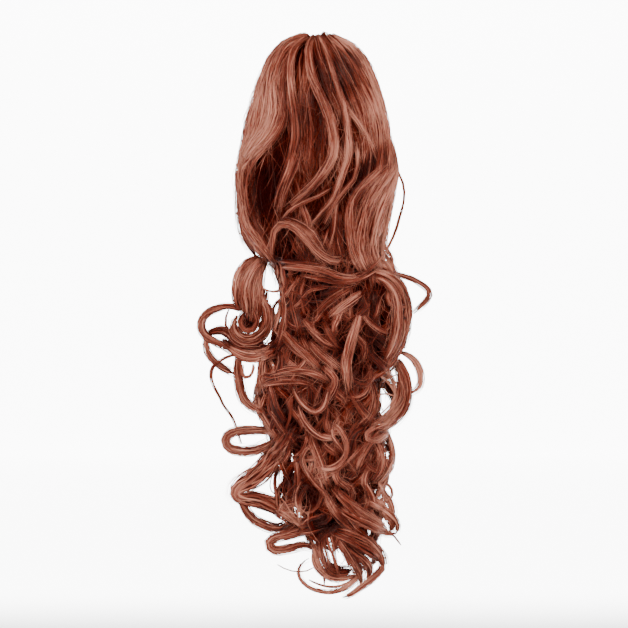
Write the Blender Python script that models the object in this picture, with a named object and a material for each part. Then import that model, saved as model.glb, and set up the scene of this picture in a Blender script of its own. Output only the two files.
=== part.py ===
"""A curly ponytail hairpiece: layered hair sewn round a plain claw clip, hanging as it is worn.

Frame: metres, +Z up. The origin is the middle of the claw clip's hollow, where the wearer's own bun sits.
The seen side of the hair faces -Y and the wearer's head is at +Y. Tables are in millimetres:
across is +X, out is towards the viewer (-Y), and drop is measured down from the top of the crown.
"""

import math

import bmesh
import bpy
from mathutils import Vector

MM = 0.001

# Driving sizes
HANGING_LENGTH = 550.0  # crown to lowest curl, a 22 inch piece
CROWN_ABOVE_CLIP = 55.0  # top of the crown above the clip's middle
SEAT_GAP = 0.35  # clearance between neighbouring pieces

# Claw clip
CLIP_HEIGHT = 84.0
CLIP_INNER_RADIUS = 21.0
CLIP_WALL = 2.6
CLIP_FINGERS = 5  # claws on each jaw
CLIP_FINGER_HEIGHT = 8.0
CLIP_PLATE_ANGLE = 72.0  # how far each jaw's plate reaches round from the spine
CLIP_TIP_ANGLE = 138.0  # how far its claws reach round
CLIP_SPINE_RADIUS = 4.5

# Hair
BODY_INSET = 4.0  # the mass lies this far inside the outline that its locks reach
BODY_SIDES = 20
BODY_SQUARENESS = 2.3  # 2 is an ellipse
LOCK_SIDES = 6
LOCK_STEP = 18.0  # length of a long lock between two of its rings
CURL_STEP = 10.5  # and of a curl

# The outline of the mass of hair, without the loops that stand off it
OUTLINE_COLUMNS = ("drop", "left", "right", "front", "back")
CROWN_OUTLINE = (
    (0, -17, 22, 30, 9),
    (6, -29, 29, 39, 2),
    (14, -39, 40, 45, -3),
    (29, -48, 52, 51, -8),
    (45, -54, 59, 56, -11),
    (76, -65, 66, 61, -15),
    (107, -70, 73, 63, -20),
    (138, -76, 78, 62, -30),
    (169, -74, 72, 57, -38),
    (196, -68, 67, 52, -42),
    (208, -61, 67, 49, -42),
    (217, -52, 64, 46, -41),
)
MIDDLE_OUTLINE = (
    (206, -38, 60, 44, -40),
    (224, -33, 74, 49, -42),
    (245, -32, 84, 50, -43),
    (265, -32, 88, 50, -43),
    (285, -38, 88, 50, -43),
    (305, -50, 84, 50, -42),
    (326, -54, 74, 48, -41),
)
LOWER_OUTLINE = (
    (316, -52, 74, 47, -41),
    (340, -56, 62, 46, -40),
    (364, -54, 61, 44, -39),
    (386, -44, 70, 42, -37),
    (402, -37, 72, 40, -35),
    (420, -33, 73, 38, -33),
    (440, -35, 67, 36, -31),
)
TIPS_OUTLINE = (
    (432, -33, 67, 36, -31),
    (450, -36, 65, 34, -29),
    (466, -32, 63, 31, -26),
    (480, -12, 64, 28, -22),
    (498, 0, 63, 23, -16),
    (514, 4, 56, 16, -9),
    (527, 10, 40, 9, -3),
)


def world(across, out, drop):
    return Vector((across, -out, CROWN_ABOVE_CLIP - drop)) * MM


def between(table, drop):
    """The row of an outline at this drop, read between its own rows."""
    rows = sorted(table)
    if drop <= rows[0][0]:
        return rows[0]
    for low, high in zip(rows, rows[1:]):
        if drop <= high[0]:
            share = (drop - low[0]) / (high[0] - low[0])
            return tuple(a + (b - a) * share for a, b in zip(low, high))
    return rows[-1]


WHOLE_OUTLINE = CROWN_OUTLINE + MIDDLE_OUTLINE[1:] + LOWER_OUTLINE[1:] + TIPS_OUTLINE[1:]


def face_of_mass(across, drop, behind=False):
    """How far out the mass of hair reaches at this place, on its seen side or behind it."""
    _, left, right, front, back = between(WHOLE_OUTLINE, drop)
    middle, half = (left + right) / 2, (right - left) / 2
    centre, depth = (front + back) / 2, (front - back) / 2
    share = min(abs(across - middle) / half, 1.0)
    reach = depth * (1 - share**BODY_SQUARENESS) ** (1 / BODY_SQUARENESS)
    return centre - reach if behind else centre + reach


def smooth_route(stations, step):
    """Points at even distances along a smooth curve through the stations."""
    points = [Vector(s) for s in stations]
    ends = [points[0] * 2 - points[1], *points, points[-1] * 2 - points[-2]]
    fine = []
    for before, start, end, after in zip(ends, ends[1:], ends[2:], ends[3:]):
        for k in range(12):
            t = k / 12
            fine.append(
                0.5
                * (
                    2 * start
                    + (end - before) * t
                    + (2 * before - 5 * start + 4 * end - after) * t**2
                    + (3 * start - before - 3 * end + after) * t**3
                )
            )
    fine.append(points[-1])
    lengths = [0.0]
    for a, b in zip(fine, fine[1:]):
        lengths.append(lengths[-1] + (b - a).length)
    count = max(4, round(lengths[-1] / step))
    even, k = [], 0
    for n in range(count + 1):
        target = lengths[-1] * n / count
        while k < len(fine) - 2 and lengths[k + 1] < target:
            k += 1
        share = (target - lengths[k]) / max(lengths[k + 1] - lengths[k], 1e-9)
        even.append(fine[k].lerp(fine[k + 1], share))
    return even


def ring_solid(name, rings):
    """A closed solid skinned over rings of points, with a face at each end."""
    mesh = bmesh.new()
    rows = [[mesh.verts.new(p) for p in ring] for ring in rings]
    sides = len(rows[0])
    for low, high in zip(rows, rows[1:]):
        for k in range(sides):
            n = (k + 1) % sides
            mesh.faces.new((low[k], low[n], high[n], high[k]))
    mesh.faces.new(rows[0][::-1])
    mesh.faces.new(rows[-1])
    bmesh.ops.recalc_face_normals(mesh, faces=mesh.faces)
    bmesh.ops.triangulate(mesh, faces=mesh.faces)
    if mesh.calc_volume(signed=True) < 0:
        bmesh.ops.reverse_faces(mesh, faces=mesh.faces)
    data = bpy.data.meshes.new(name)
    mesh.to_mesh(data)
    mesh.free()
    made = bpy.data.objects.new(name, data)
    bpy.context.scene.collection.objects.link(made)
    return made


def mass_solid(name, outline, grow):
    """The inner mass of one layer, as rounded sections down its outline."""
    rings = []
    inset = BODY_INSET - grow
    for place, (drop, left, right, front, back) in enumerate(outline):
        middle, half = (left + right) / 2, (right - left) / 2 - inset
        centre, depth = (front + back) / 2, (front - back) / 2 - inset
        if place == 0:
            drop -= grow
        elif place == len(outline) - 1:
            drop += grow
        ring = []
        for k in range(BODY_SIDES):
            turn = 2 * math.pi * k / BODY_SIDES
            c, s = math.cos(turn), math.sin(turn)
            x = math.copysign(abs(c) ** (2 / BODY_SQUARENESS), c) * half
            y = math.copysign(abs(s) ** (2 / BODY_SQUARENESS), s) * depth
            ring.append(world(middle + x, centre + y, drop))
        rings.append(ring)
    return ring_solid(name, rings)


def lock_solid(name, route, wide, deep, grow, step=CURL_STEP):
    """A flattened, tapering lock along a route; wide and deep are half sizes at its root, middle and tip."""
    points = smooth_route(route, step)
    last = len(points) - 1
    rings, across = [], Vector((1, 0, 0))
    for n, point in enumerate(points):
        ahead = (points[min(n + 1, last)] - points[max(n - 1, 0)]).normalized()
        outwards = Vector((0, 1, 0))
        side = ahead.cross(outwards)
        if side.length < 0.35:
            side = across - ahead * across.dot(ahead)
        side.normalize()
        if n and side.dot(across) < 0:
            side.negate()
        across = side
        depth_way = ahead.cross(side)
        along = n / last
        end = 0.45 if n in (0, last) else 1.0
        half = size_along(wide, along) * end + grow
        thick = size_along(deep, along) * end + grow
        ring = []
        for k in range(LOCK_SIDES):
            turn = 2 * math.pi * k / LOCK_SIDES
            p = point + side * (half * math.cos(turn)) + depth_way * (thick * math.sin(turn))
            ring.append(world(*p))
        rings.append(ring)
    return ring_solid(name, rings)


def size_along(sizes, along):
    root, middle, tip = sizes
    if along < 0.5:
        return root + (middle - root) * along * 2
    return middle + (tip - middle) * (along * 2 - 1)


def front_route(route, lift):
    """A route traced on the seen side: (across, drop) rows, laid this far off the mass."""
    start, middle, end = lift
    count = len(route) - 1
    return [
        (a, face_of_mass(a, d) + size_along((start, middle, end), n / count), d)
        for n, (a, d) in enumerate(route)
    ]


def ringlet_route(across, out, start, end, radius, turns, phase, drift):
    """A hanging ringlet: a helix that widens as it falls, round a line that drifts sideways."""
    steps = max(6, round(turns * 7))
    rows = []
    for n in range(steps + 1):
        along = n / steps
        turn = math.radians(phase) + 2 * math.pi * turns * along
        swell = radius * (0.35 + 0.65 * min(1.0, along * 2.5))
        rows.append(
            (
                across + drift * along + swell * math.cos(turn),
                out + swell * math.sin(turn),
                start + (end - start) * along,
            )
        )
    return rows


def boolean(target, other, operation):
    """Work one exact Boolean into the target's own mesh, and remove the other object."""
    modifier = target.modifiers.new(operation.title(), "BOOLEAN")
    modifier.operation = operation
    modifier.solver = "EXACT"
    modifier.object = other
    bpy.context.view_layer.update()
    graph = bpy.context.evaluated_depsgraph_get()
    worked = bpy.data.meshes.new_from_object(target.evaluated_get(graph))
    target.modifiers.clear()
    old = target.data
    target.data = worked
    bpy.data.meshes.remove(old)
    remove_object(other)


def remove_object(thing):
    data = thing.data
    bpy.data.objects.remove(thing)
    bpy.data.meshes.remove(data)


def reach_of(thing):
    """The lowest and highest corner of an object's points."""
    points = [v.co for v in thing.data.vertices]
    low = [min(p[k] for p in points) for k in range(3)]
    high = [max(p[k] for p in points) for k in range(3)]
    return low, high


def apart(one, other):
    (low_a, high_a), (low_b, high_b) = reach_of(one), reach_of(other)
    return any(low_a[k] > high_b[k] or low_b[k] > high_a[k] for k in range(3))


def keep_largest_body(thing):
    """Drop offcuts and closed pockets, so that one body with one skin is left."""
    mesh = bmesh.new()
    mesh.from_mesh(thing.data)
    bmesh.ops.triangulate(mesh, faces=mesh.faces)
    unseen, bodies = set(mesh.faces), []
    while unseen:
        start = unseen.pop()
        body, queue = [start], [start]
        while queue:
            face = queue.pop()
            for edge in face.edges:
                for near in edge.link_faces:
                    if near in unseen:
                        unseen.discard(near)
                        body.append(near)
                        queue.append(near)
        bodies.append(body)
    bodies.sort(key=lambda body: sum(face.calc_area() for face in body))
    spare = [face for body in bodies[:-1] for face in body]
    bmesh.ops.delete(mesh, geom=spare, context="FACES")
    mesh.to_mesh(thing.data)
    mesh.free()
    return len(bodies)


def plain_material(name, colour, roughness):
    made = bpy.data.materials.new(name)
    made.use_nodes = True
    shader = made.node_tree.nodes["Principled BSDF"]
    shader.inputs["Base Color"].default_value = (*colour, 1)
    shader.inputs["Roughness"].default_value = roughness
    shader.inputs["Metallic"].default_value = 0.0
    return made


# Locks of hair, each a row: the route it takes on the seen side as (across, drop) stations, how wide and
# how deep it is at its root, middle and tip (half sizes), and how far it stands off the mass there.
LOCK_COLUMNS = ("route", "wide", "deep", "lift")
CROWN_LOCKS = {
    "outer_left": (
        ((-12, 4), (-33, 12), (-45, 32), (-54, 62), (-62, 92), (-70, 118), (-72, 142), (-68, 172), (-58, 200)),
        (5, 6, 5), (4, 5, 4), (-3, -1, -2),
    ),
    "left_swoop": (
        ((-10, 4), (-27, 13), (-37, 32), (-41, 55), (-42, 75), (-48, 95), (-60, 114), (-69, 130)),
        (5, 13, 8), (3, 7, 5), (-3, 1, 0),
    ),
    "centre_left": (
        ((-7, 4), (-19, 12), (-25, 30), (-24, 55), (-20, 80), (-20, 105), (-26, 130), (-35, 152), (-38, 174)),
        (4, 6, 6), (3, 6, 4), (-2, 2, -2),
    ),
    "centre": (
        ((-3, 5), (-6, 20), (-3, 42), (8, 68), (17, 92), (18, 114), (8, 136), (-10, 156), (-28, 172)),
        (4, 6, 5), (3, 6, 4), (-2, 3, 2),
    ),
    "centre_right": (
        ((4, 4), (12, 25), (22, 55), (30, 85), (33, 112), (28, 135), (20, 155), (4, 178), (-10, 190)),
        (4, 6, 4), (3, 6, 3), (-2, 3, 2),
    ),
    "inner_right": (
        ((8, 4), (20, 28), (32, 56), (42, 82), (50, 106), (54, 124)),
        (4, 7, 7), (3, 5, 4), (-3, 0, 0),
    ),
    "right_panel": (
        ((14, 4), (30, 18), (46, 44), (58, 72), (64, 98), (68, 120)),
        (5, 11, 9), (4, 7, 5), (-3, 1, 0),
    ),
    "right_fall": (
        ((68, 120), (62, 142), (54, 164), (49, 186), (49, 208), (54, 227)),
        (6, 20, 12), (4, 9, 6), (0, 1, 2),
    ),
    "band": (
        ((-36, 178), (-15, 186), (0, 199), (12, 212)),
        (3, 4, 3), (3, 4, 3), (0, 3, 1),
    ),
    "ring": (
        ((-40, 211), (-41, 197), (-34, 186), (-20, 190), (-4, 205), (12, 217), (28, 220)),
        (2.5, 3, 4), (3, 4, 3), (1, 5, 2),
    ),
}
MIDDLE_LOCKS = {
    "crossing_upper": (
        ((-32, 226), (-10, 229), (12, 233), (32, 239), (50, 236)),
        (2.5, 4, 3), (3, 4, 3), (0, 3, 0),
    ),
    "centre_column": (
        ((42, 250), (38, 272), (33, 296), (30, 314)),
        (6, 8, 6), (4, 7, 4), (0, 3, 0),
    ),
    "right_inner": (
        ((66, 242), (60, 260), (62, 282), (56, 306)),
        (4, 6, 4), (4, 6, 4), (-2, 1, -2),
    ),
    "diagonal": (
        ((46, 268), (58, 282), (74, 292)),
        (3, 3.5, 3), (3, 4, 3), (0, 2, 0),
    ),
    "inner_loop": (
        ((-24, 258), (-36, 258), (-41, 268), (-38, 284), (-26, 294)),
        (2, 2, 2), (2, 2, 2), (-1, 3, -2),
    ),
    "left_column": (
        ((-12, 240), (-16, 262), (-10, 286), (6, 308), (20, 316)),
        (5, 7, 5), (4, 6, 4), (-1, 3, 0),
    ),
}
LOWER_LOCKS = {
    "upper_lid": (
        ((-46, 334), (-22, 327), (0, 328), (16, 336)),
        (3, 3.5, 3), (3, 4, 3), (0, 3, 0),
    ),
    "u_curl": (
        ((-22, 342), (-14, 357), (0, 366), (11, 355), (16, 336)),
        (3, 3, 3), (3, 4, 3), (0, 5, 1),
    ),
    "ring_curl": (
        ((18, 378), (30, 394), (29, 411), (15, 421), (4, 416)),
        (2.5, 3, 2.5), (3, 4, 3), (0, 4, 0),
    ),
    "under_curl": (
        ((-16, 362), (-8, 378), (8, 391), (22, 390)),
        (2.5, 3, 2.5), (3, 4, 3), (0, 4, 0),
    ),
    "centre_fall": (
        ((24, 336), (34, 360), (44, 384), (52, 406), (48, 428)),
        (5, 8, 5), (4, 7, 4), (-1, 2, -1),
    ),
    "inner_fall": (
        ((-4, 376), (6, 396), (8, 414), (14, 434)),
        (4, 6, 5), (4, 6, 4), (-2, 1, -1),
    ),
    "left_edge": (
        ((-50, 342), (-52, 360), (-42, 376), (-28, 388)),
        (4, 4, 3), (4, 5, 3), (-2, 2, 0),
    ),
    "left_loop": (
        ((-40, 391), (-58, 386), (-80, 386), (-87, 395), (-76, 404), (-56, 403), (-36, 392)),
        (2.5, 4, 4), (3, 4, 4), (-2, 8, 4),
    ),
    "left_sweep": (
        ((-20, 386), (-34, 402), (-46, 420), (-62, 432), (-76, 444)),
        (6, 10, 5), (4, 6, 4), (-2, 4, 6),
    ),
    "left_return": (
        ((-77, 447), (-60, 450), (-40, 454), (-22, 462), (-4, 470)),
        (4, 7, 5), (4, 5, 4), (6, 2, -4),
    ),
    "left_hook": (
        ((-72, 450), (-66, 467), (-50, 478), (-32, 478), (-20, 466)),
        (3, 4, 4), (3, 4, 3), (4, -2, -2),
    ),
    "right_edge": (
        ((68, 388), (74, 406), (71, 424), (58, 438)),
        (3, 4, 3), (4, 5, 4), (-2, 2, -2),
    ),
}
TIP_LOCKS = {
    "right_curl": (
        ((18, 442), (42, 464), (64, 479), (79, 487)),
        (6, 6, 3), (4, 6, 3), (0, 3, 2),
    ),
    "right_outer": (
        ((44, 450), (64, 459), (78, 474), (80, 489)),
        (3, 3.5, 2.5), (3, 4, 3), (0, 4, 2),
    ),
    "left_hairpin": (
        ((14, 478), (-8, 482), (-28, 487), (-44, 494), (-30, 500), (0, 502), (16, 500)),
        (4, 4, 2), (3, 4, 3), (-2, 4, -2),
    ),
    "sheet": (
        ((16, 482), (38, 489), (56, 502), (67, 516)),
        (8, 9, 4), (4, 5, 3), (-2, 2, 1),
    ),
    "last_hook": (
        ((68, 512), (60, 526), (44, 539), (26, 548)),
        (3.5, 3, 1.5), (3, 3, 1.5), (1, 3, 2),
    ),
    "bottom_ring": (
        ((44, 516), (38, 532), (22, 541), (4, 541), (-11, 533), (-15, 521), (-6, 511), (10, 506)),
        (3, 2, 1.5), (3, 2.5, 1.5), (-2, 2, -2),
    ),
    "centre_drop": (
        ((10, 484), (16, 504), (22, 528)),
        (7, 9, 6), (5, 6, 3), (-2, 0, 2),
    ),
}
LEFT_LOCKS = {
    "outer_spiral": (
        ((-50, 222), (-65, 227), (-73, 240), (-74, 254), (-68, 270)),
        (5, 6, 4), (5, 6, 4), (10, 16, 12),
    ),
    "inner_spiral": (
        ((-48, 220), (-56, 234), (-58, 252), (-59, 270), (-61, 288)),
        (6, 7, 5), (5, 7, 5), (8, 8, 12),
    ),
    "spiral_foot": (
        ((-52, 258), (-46, 274), (-52, 290), (-64, 296), (-76, 290), (-77, 274)),
        (4, 5, 4), (4, 5, 4), (8, 14, 12),
    ),
    "outer_loop": (
        ((-72, 267), (-88, 264), (-104, 270), (-112, 281), (-106, 294), (-90, 302), (-72, 313)),
        (3, 3, 3), (3, 3, 3), (12, 6, 10),
    ),
    "hanging_hook": (
        ((-105, 294), (-104, 310), (-92, 322), (-75, 331)),
        (2.5, 2.5, 2.5), (2.5, 2.5, 2.5), (7, 6, 8),
    ),
    "sheet": (
        ((-84, 305), (-66, 313), (-50, 311), (-40, 304)),
        (5, 7, 5), (4, 5, 4), (9, 11, 10),
    ),
    "lower_bend": (
        ((-74, 312), (-74, 335), (-70, 352), (-58, 362), (-50, 368)),
        (4, 4, 3), (4, 4, 4), (9, 8, 12),
    ),
}
RIGHT_LOCKS = {
    "band": (
        ((56, 229), (77, 240), (86, 260), (86, 283), (79, 306), (66, 326)),
        (5, 8, 6), (6, 8, 6), (2, 4, 4),
    ),
    "outer_loop": (
        ((74, 234), (96, 238), (110, 247), (110, 257), (92, 272)),
        (1.7, 1.7, 1.7), (1.7, 1.7, 1.7), (5, 6, 4),
    ),
    "small_loop": (
        ((82, 307), (96, 315), (104, 330), (101, 343), (88, 350)),
        (2.2, 2.5, 2.2), (2.2, 2.5, 2.2), (6, 8, 8),
    ),
    "big_curl": (
        ((76, 312), (88, 334), (88, 355), (79, 372), (62, 382)),
        (6, 8, 6), (6, 7, 6), (6, 8, 6),
    ),
}

# Locks that hang round the sides and back of the crown, a row each: bearing round its section from the
# right (90 is the seen side), then the drop where each starts and ends.
CROWN_SIDE_COLUMNS = ("bearing", "start", "end")
CROWN_SIDE_LOCKS = ((-32, 8, 206), (-4, 8, 190), (184, 8, 206), (212, 8, 210))
# Ringlets behind, a row each: across, out, drop at start and end, radius, turns, phase, drift
BACK_COLUMNS = ("across", "out", "start", "end", "radius", "turns", "phase", "drift")
BACK_RINGLETS = (
    (-26, -37, 214, 330, 7, 2.0, 20, -6),
    (-2, -41, 212, 398, 8, 3.0, 140, -4),
    (24, -42, 212, 440, 8, 3.6, 250, 2),
    (50, -40, 214, 420, 8, 3.2, 60, 4),
    (70, -32, 222, 372, 7, 2.4, 300, 0),
)
SIDE_HALF = (5, 8, 5)  # half width and half depth of a side lock at its root, middle and tip
SIDE_DEEP = (4, 6, 4)
RINGLET_HALF = (3.5, 5.5, 3.0)
RINGLET_DEEP = (3.5, 4.5, 2.5)
BACKING_STRIP = (-30, 66)  # the sewn strip that joins the ringlets behind runs between these


def bearing_route(bearing, start, end):
    """A lock that hangs on the mass at one bearing round its sections."""
    rows = []
    for n in range(8):
        drop = start + (end - start) * n / 7
        _, left, right, front, back = between(WHOLE_OUTLINE, drop)
        turn = math.radians(bearing)
        c, s = math.cos(turn), math.sin(turn)
        half, depth = (right - left) / 2 - BODY_INSET, (front - back) / 2 - BODY_INSET
        across = (left + right) / 2 + math.copysign(abs(c) ** (2 / BODY_SQUARENESS), c) * half
        out = (front + back) / 2 + math.copysign(abs(s) ** (2 / BODY_SQUARENESS), s) * depth
        rows.append((across, out, drop))
    return rows


def front_locks(table, grow, step=CURL_STEP):
    return [
        lock_solid(name, front_route(route, lift), wide, deep, grow, step)
        for name, (route, wide, deep, lift) in table.items()
    ]


def crown_parts(grow):
    parts = [mass_solid("crown_mass", CROWN_OUTLINE, grow)]
    parts += front_locks(CROWN_LOCKS, grow, LOCK_STEP)
    for bearing, start, end in CROWN_SIDE_LOCKS:
        route = bearing_route(bearing, start, end)
        parts.append(lock_solid("side", route, SIDE_HALF, SIDE_DEEP, grow, LOCK_STEP))
    return parts


def middle_parts(grow):
    return [mass_solid("middle_mass", MIDDLE_OUTLINE, grow)] + front_locks(MIDDLE_LOCKS, grow)


def lower_parts(grow):
    return [mass_solid("lower_mass", LOWER_OUTLINE, grow)] + front_locks(LOWER_LOCKS, grow)


def tip_parts(grow):
    return [mass_solid("tip_mass", TIPS_OUTLINE, grow)] + front_locks(TIP_LOCKS, grow)


def left_parts(grow):
    return front_locks(LEFT_LOCKS, grow)


def right_parts(grow):
    return front_locks(RIGHT_LOCKS, grow)


def back_parts(grow):
    left, right = BACKING_STRIP
    strip = [(left + (right - left) * n / 5, -41 - 3 * math.sin(math.pi * n / 5), 224) for n in range(6)]
    parts = [lock_solid("strip", strip, (5, 5, 5), (3, 3, 3), grow)]
    for across, out, start, end, radius, turns, phase, drift in BACK_RINGLETS:
        route = ringlet_route(across, out, start, end, radius, turns, phase, drift)
        parts.append(lock_solid("ringlet", route, RINGLET_HALF, RINGLET_DEEP, grow))
    return parts


def clip_solid(grow):
    """The clip: a curved shell open at the head side, cut into claws, with a round spine on its back."""
    columns = 20
    rows = 2 * CLIP_FINGERS - 1
    slot_height = (CLIP_HEIGHT - CLIP_FINGERS * CLIP_FINGER_HEIGHT) / (CLIP_FINGERS - 1)
    heights = [-CLIP_HEIGHT / 2]
    for k in range(rows):
        heights.append(heights[-1] + (slot_height if k % 2 else CLIP_FINGER_HEIGHT))
    angles = [CLIP_TIP_ANGLE * (2 * k / columns - 1) for k in range(columns + 1)]
    mesh = bmesh.new()
    points = {}

    def point(column, row, outer):
        key = (column, row, outer)
        if key not in points:
            angle = math.radians(angles[column])
            radius = CLIP_INNER_RADIUS + (CLIP_WALL if outer else 0)
            points[key] = mesh.verts.new(
                Vector((radius * math.sin(angle), -radius * math.cos(angle), heights[row])) * MM
            )
        return points[key]

    def solid_cell(column, row):
        if not (0 <= column < columns and 0 <= row < rows):
            return False
        middle = abs(angles[column] + angles[column + 1]) / 2
        return row % 2 == 0 or middle < CLIP_PLATE_ANGLE

    for column in range(columns):
        for row in range(rows):
            if not solid_cell(column, row):
                continue
            corners = ((column, row), (column + 1, row), (column + 1, row + 1), (column, row + 1))
            mesh.faces.new([point(c, r, True) for c, r in corners])
            mesh.faces.new([point(c, r, False) for c, r in reversed(corners)])
            beside = ((column, row - 1), (column + 1, row), (column, row + 1), (column - 1, row))
            for side, near in enumerate(beside):
                if solid_cell(*near):
                    continue
                (c0, r0), (c1, r1) = corners[side], corners[(side + 1) % 4]
                mesh.faces.new(
                    (point(c1, r1, True), point(c0, r0, True), point(c0, r0, False), point(c1, r1, False))
                )
    bmesh.ops.recalc_face_normals(mesh, faces=mesh.faces)
    bmesh.ops.triangulate(mesh, faces=mesh.faces)
    if mesh.calc_volume(signed=True) < 0:
        bmesh.ops.reverse_faces(mesh, faces=mesh.faces)
    data = bpy.data.meshes.new("claw_clip")
    mesh.to_mesh(data)
    mesh.free()
    clip = bpy.data.objects.new("claw_clip", data)
    bpy.context.scene.collection.objects.link(clip)
    boolean(clip, round_bar(CLIP_SPINE_RADIUS, CLIP_HEIGHT - 4, CLIP_INNER_RADIUS + CLIP_WALL), "UNION")
    return clip


def round_bar(radius, height, forward):
    """An upright round bar this far in front of the origin."""
    rings = []
    for z in (-height / 2, height / 2):
        rings.append(
            [
                Vector((radius * math.cos(t), -forward + radius * math.sin(t), z)) * MM
                for t in (2 * math.pi * k / 16 for k in range(16))
            ]
        )
    return ring_solid("bar", rings)


def channel_solid():
    """The room that the crown leaves for the clip: a slot open at the head side, with a groove for the spine."""
    radius = CLIP_INNER_RADIUS + CLIP_WALL + SEAT_GAP
    section = [(radius, 60.0), (-radius, 60.0)]
    for k in range(15):
        angle = math.pi + math.pi * k / 14
        section.append((radius * math.cos(angle), radius * math.sin(angle)))
    half = CLIP_HEIGHT / 2 + SEAT_GAP
    rings = [[Vector((x, y, z)) * MM for x, y in section] for z in (-half, half)]
    channel = ring_solid("channel", rings)
    groove = round_bar(
        CLIP_SPINE_RADIUS + SEAT_GAP, CLIP_HEIGHT + 2 * SEAT_GAP - 0.2, CLIP_INNER_RADIUS + CLIP_WALL
    )
    boolean(channel, groove, "UNION")
    return channel


def hair_node(name, make_parts, neighbours, material):
    """Fuse one layer of hair into one body, and cut it clear of the layers made before it."""
    parts = make_parts(0.0)
    node, rest = parts[0], parts[1:]
    node.name = name
    for part in rest:
        boolean(node, part, "UNION")
    for neighbour in neighbours:
        for part in neighbour(SEAT_GAP):
            if apart(node, part):
                remove_object(part)
            else:
                boolean(node, part, "DIFFERENCE")
    if name == "crown_hair":
        boolean(node, channel_solid(), "DIFFERENCE")
    bodies = keep_largest_body(node)
    node.data.name = name
    node.data.materials.clear()
    node.data.materials.append(material)
    print(f"{name}: {len(node.data.polygons)} triangles, {bodies} bodies before tidying")
    return node


for thing in list(bpy.data.objects):
    bpy.data.objects.remove(thing)

clip = clip_solid(0.0)
clip.data.materials.append(plain_material("clip_plastic", (0.035, 0.016, 0.011), 0.35))
print(f"claw_clip: {len(clip.data.polygons)} faces")

HAIR_TONES = {
    "crown_hair": (0.24, 0.070, 0.040),
    "middle_hair": (0.17, 0.042, 0.024),
    "lower_hair": (0.19, 0.050, 0.028),
    "tip_hair": (0.22, 0.062, 0.036),
    "left_ringlets": (0.23, 0.066, 0.038),
    "right_ringlets": (0.23, 0.066, 0.038),
    "back_ringlets": (0.18, 0.048, 0.027),
}
LAYERS = (
    ("crown_hair", crown_parts, ()),
    ("middle_hair", middle_parts, (crown_parts,)),
    ("lower_hair", lower_parts, (middle_parts,)),
    ("tip_hair", tip_parts, (lower_parts,)),
    ("left_ringlets", left_parts, (crown_parts, middle_parts, lower_parts)),
    ("right_ringlets", right_parts, (crown_parts, middle_parts, lower_parts)),
    ("back_ringlets", back_parts, (crown_parts, middle_parts, lower_parts, tip_parts, right_parts)),
)
for name, make_parts, neighbours in LAYERS:
    tone = plain_material(f"{name}_tone", HAIR_TONES[name], 0.45)
    hair_node(name, make_parts, neighbours, tone)
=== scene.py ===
# %% [markdown]
# # A curly ponytail hairpiece
# The real thing is a claw clip with rows of false hair sewn round it. The hair falls as a dome over the
# clip and then breaks into loose ringlets. Hair this curly reads as locks first and single hairs second,
# so everything here is built that way round: a route for each lock, bundles laid round the route, and
# fine hairs laid round the bundles. All of it is mesh, so it can be lit, baked and exported.

# %% Load the frame
import math

import bpy
import numpy as np
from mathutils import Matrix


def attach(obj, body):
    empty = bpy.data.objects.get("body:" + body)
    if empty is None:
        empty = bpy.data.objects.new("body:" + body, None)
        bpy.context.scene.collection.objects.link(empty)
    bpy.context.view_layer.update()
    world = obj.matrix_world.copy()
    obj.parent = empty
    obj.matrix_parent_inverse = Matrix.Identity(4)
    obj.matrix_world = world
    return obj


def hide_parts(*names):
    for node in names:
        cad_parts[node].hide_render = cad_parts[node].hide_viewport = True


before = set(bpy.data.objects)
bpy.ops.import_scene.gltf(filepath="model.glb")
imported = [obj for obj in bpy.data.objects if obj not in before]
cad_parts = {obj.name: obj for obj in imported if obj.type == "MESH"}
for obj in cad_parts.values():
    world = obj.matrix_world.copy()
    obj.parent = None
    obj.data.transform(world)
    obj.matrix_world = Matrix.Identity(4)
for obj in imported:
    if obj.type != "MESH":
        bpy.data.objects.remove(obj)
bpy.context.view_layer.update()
print("frame nodes:", sorted(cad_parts))

# %% [markdown]
# ## Where the hair may go
# A hairpiece has no straight edges to measure from, so one table describes the mass of hair: at each drop
# below the crown, how far it reaches left, right, out to the viewer and back to the wearer's head.
# Everything below is in millimetres and in those terms (across, out, drop), and is turned into metres
# once, when a mesh is made. The numbers are the same as the solid model's, so the two agree.

# %% The outline of the mass
MM = 1000  # in a metre
CROWN_ABOVE_CLIP = 55.0  # the frame's origin is the middle of the clip
# Columns: drop, left, right, front, back
OUTLINE = np.array(
    (
        (0, -17, 22, 30, 9),
        (6, -29, 29, 39, 2),
        (14, -39, 40, 45, -3),
        (29, -48, 52, 51, -8),
        (45, -54, 59, 56, -11),
        (76, -65, 66, 61, -15),
        (107, -70, 73, 63, -20),
        (138, -76, 78, 62, -30),
        (169, -74, 72, 57, -38),
        (196, -68, 67, 52, -42),
        (208, -61, 67, 49, -42),
        (224, -33, 74, 49, -42),
        (245, -32, 84, 50, -43),
        (265, -32, 88, 50, -43),
        (285, -38, 88, 50, -43),
        (305, -50, 84, 50, -42),
        (326, -54, 74, 48, -41),
        (340, -56, 62, 46, -40),
        (364, -54, 61, 44, -39),
        (386, -44, 70, 42, -37),
        (402, -37, 72, 40, -35),
        (420, -33, 73, 38, -33),
        (440, -35, 67, 36, -31),
        (450, -36, 65, 34, -29),
        (466, -32, 63, 31, -26),
        (480, -12, 64, 28, -22),
        (498, 0, 63, 23, -16),
        (514, 4, 56, 16, -9),
        (527, 10, 40, 9, -3),
    ),
    float,
)
SQUARENESS = 2.3  # of each section; 2 is an ellipse


def section(drop):
    """Left, right, front and back of the mass at one drop, or at an array of them."""
    return [np.interp(drop, OUTLINE[:, 0], OUTLINE[:, k]) for k in range(1, 5)]


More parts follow.
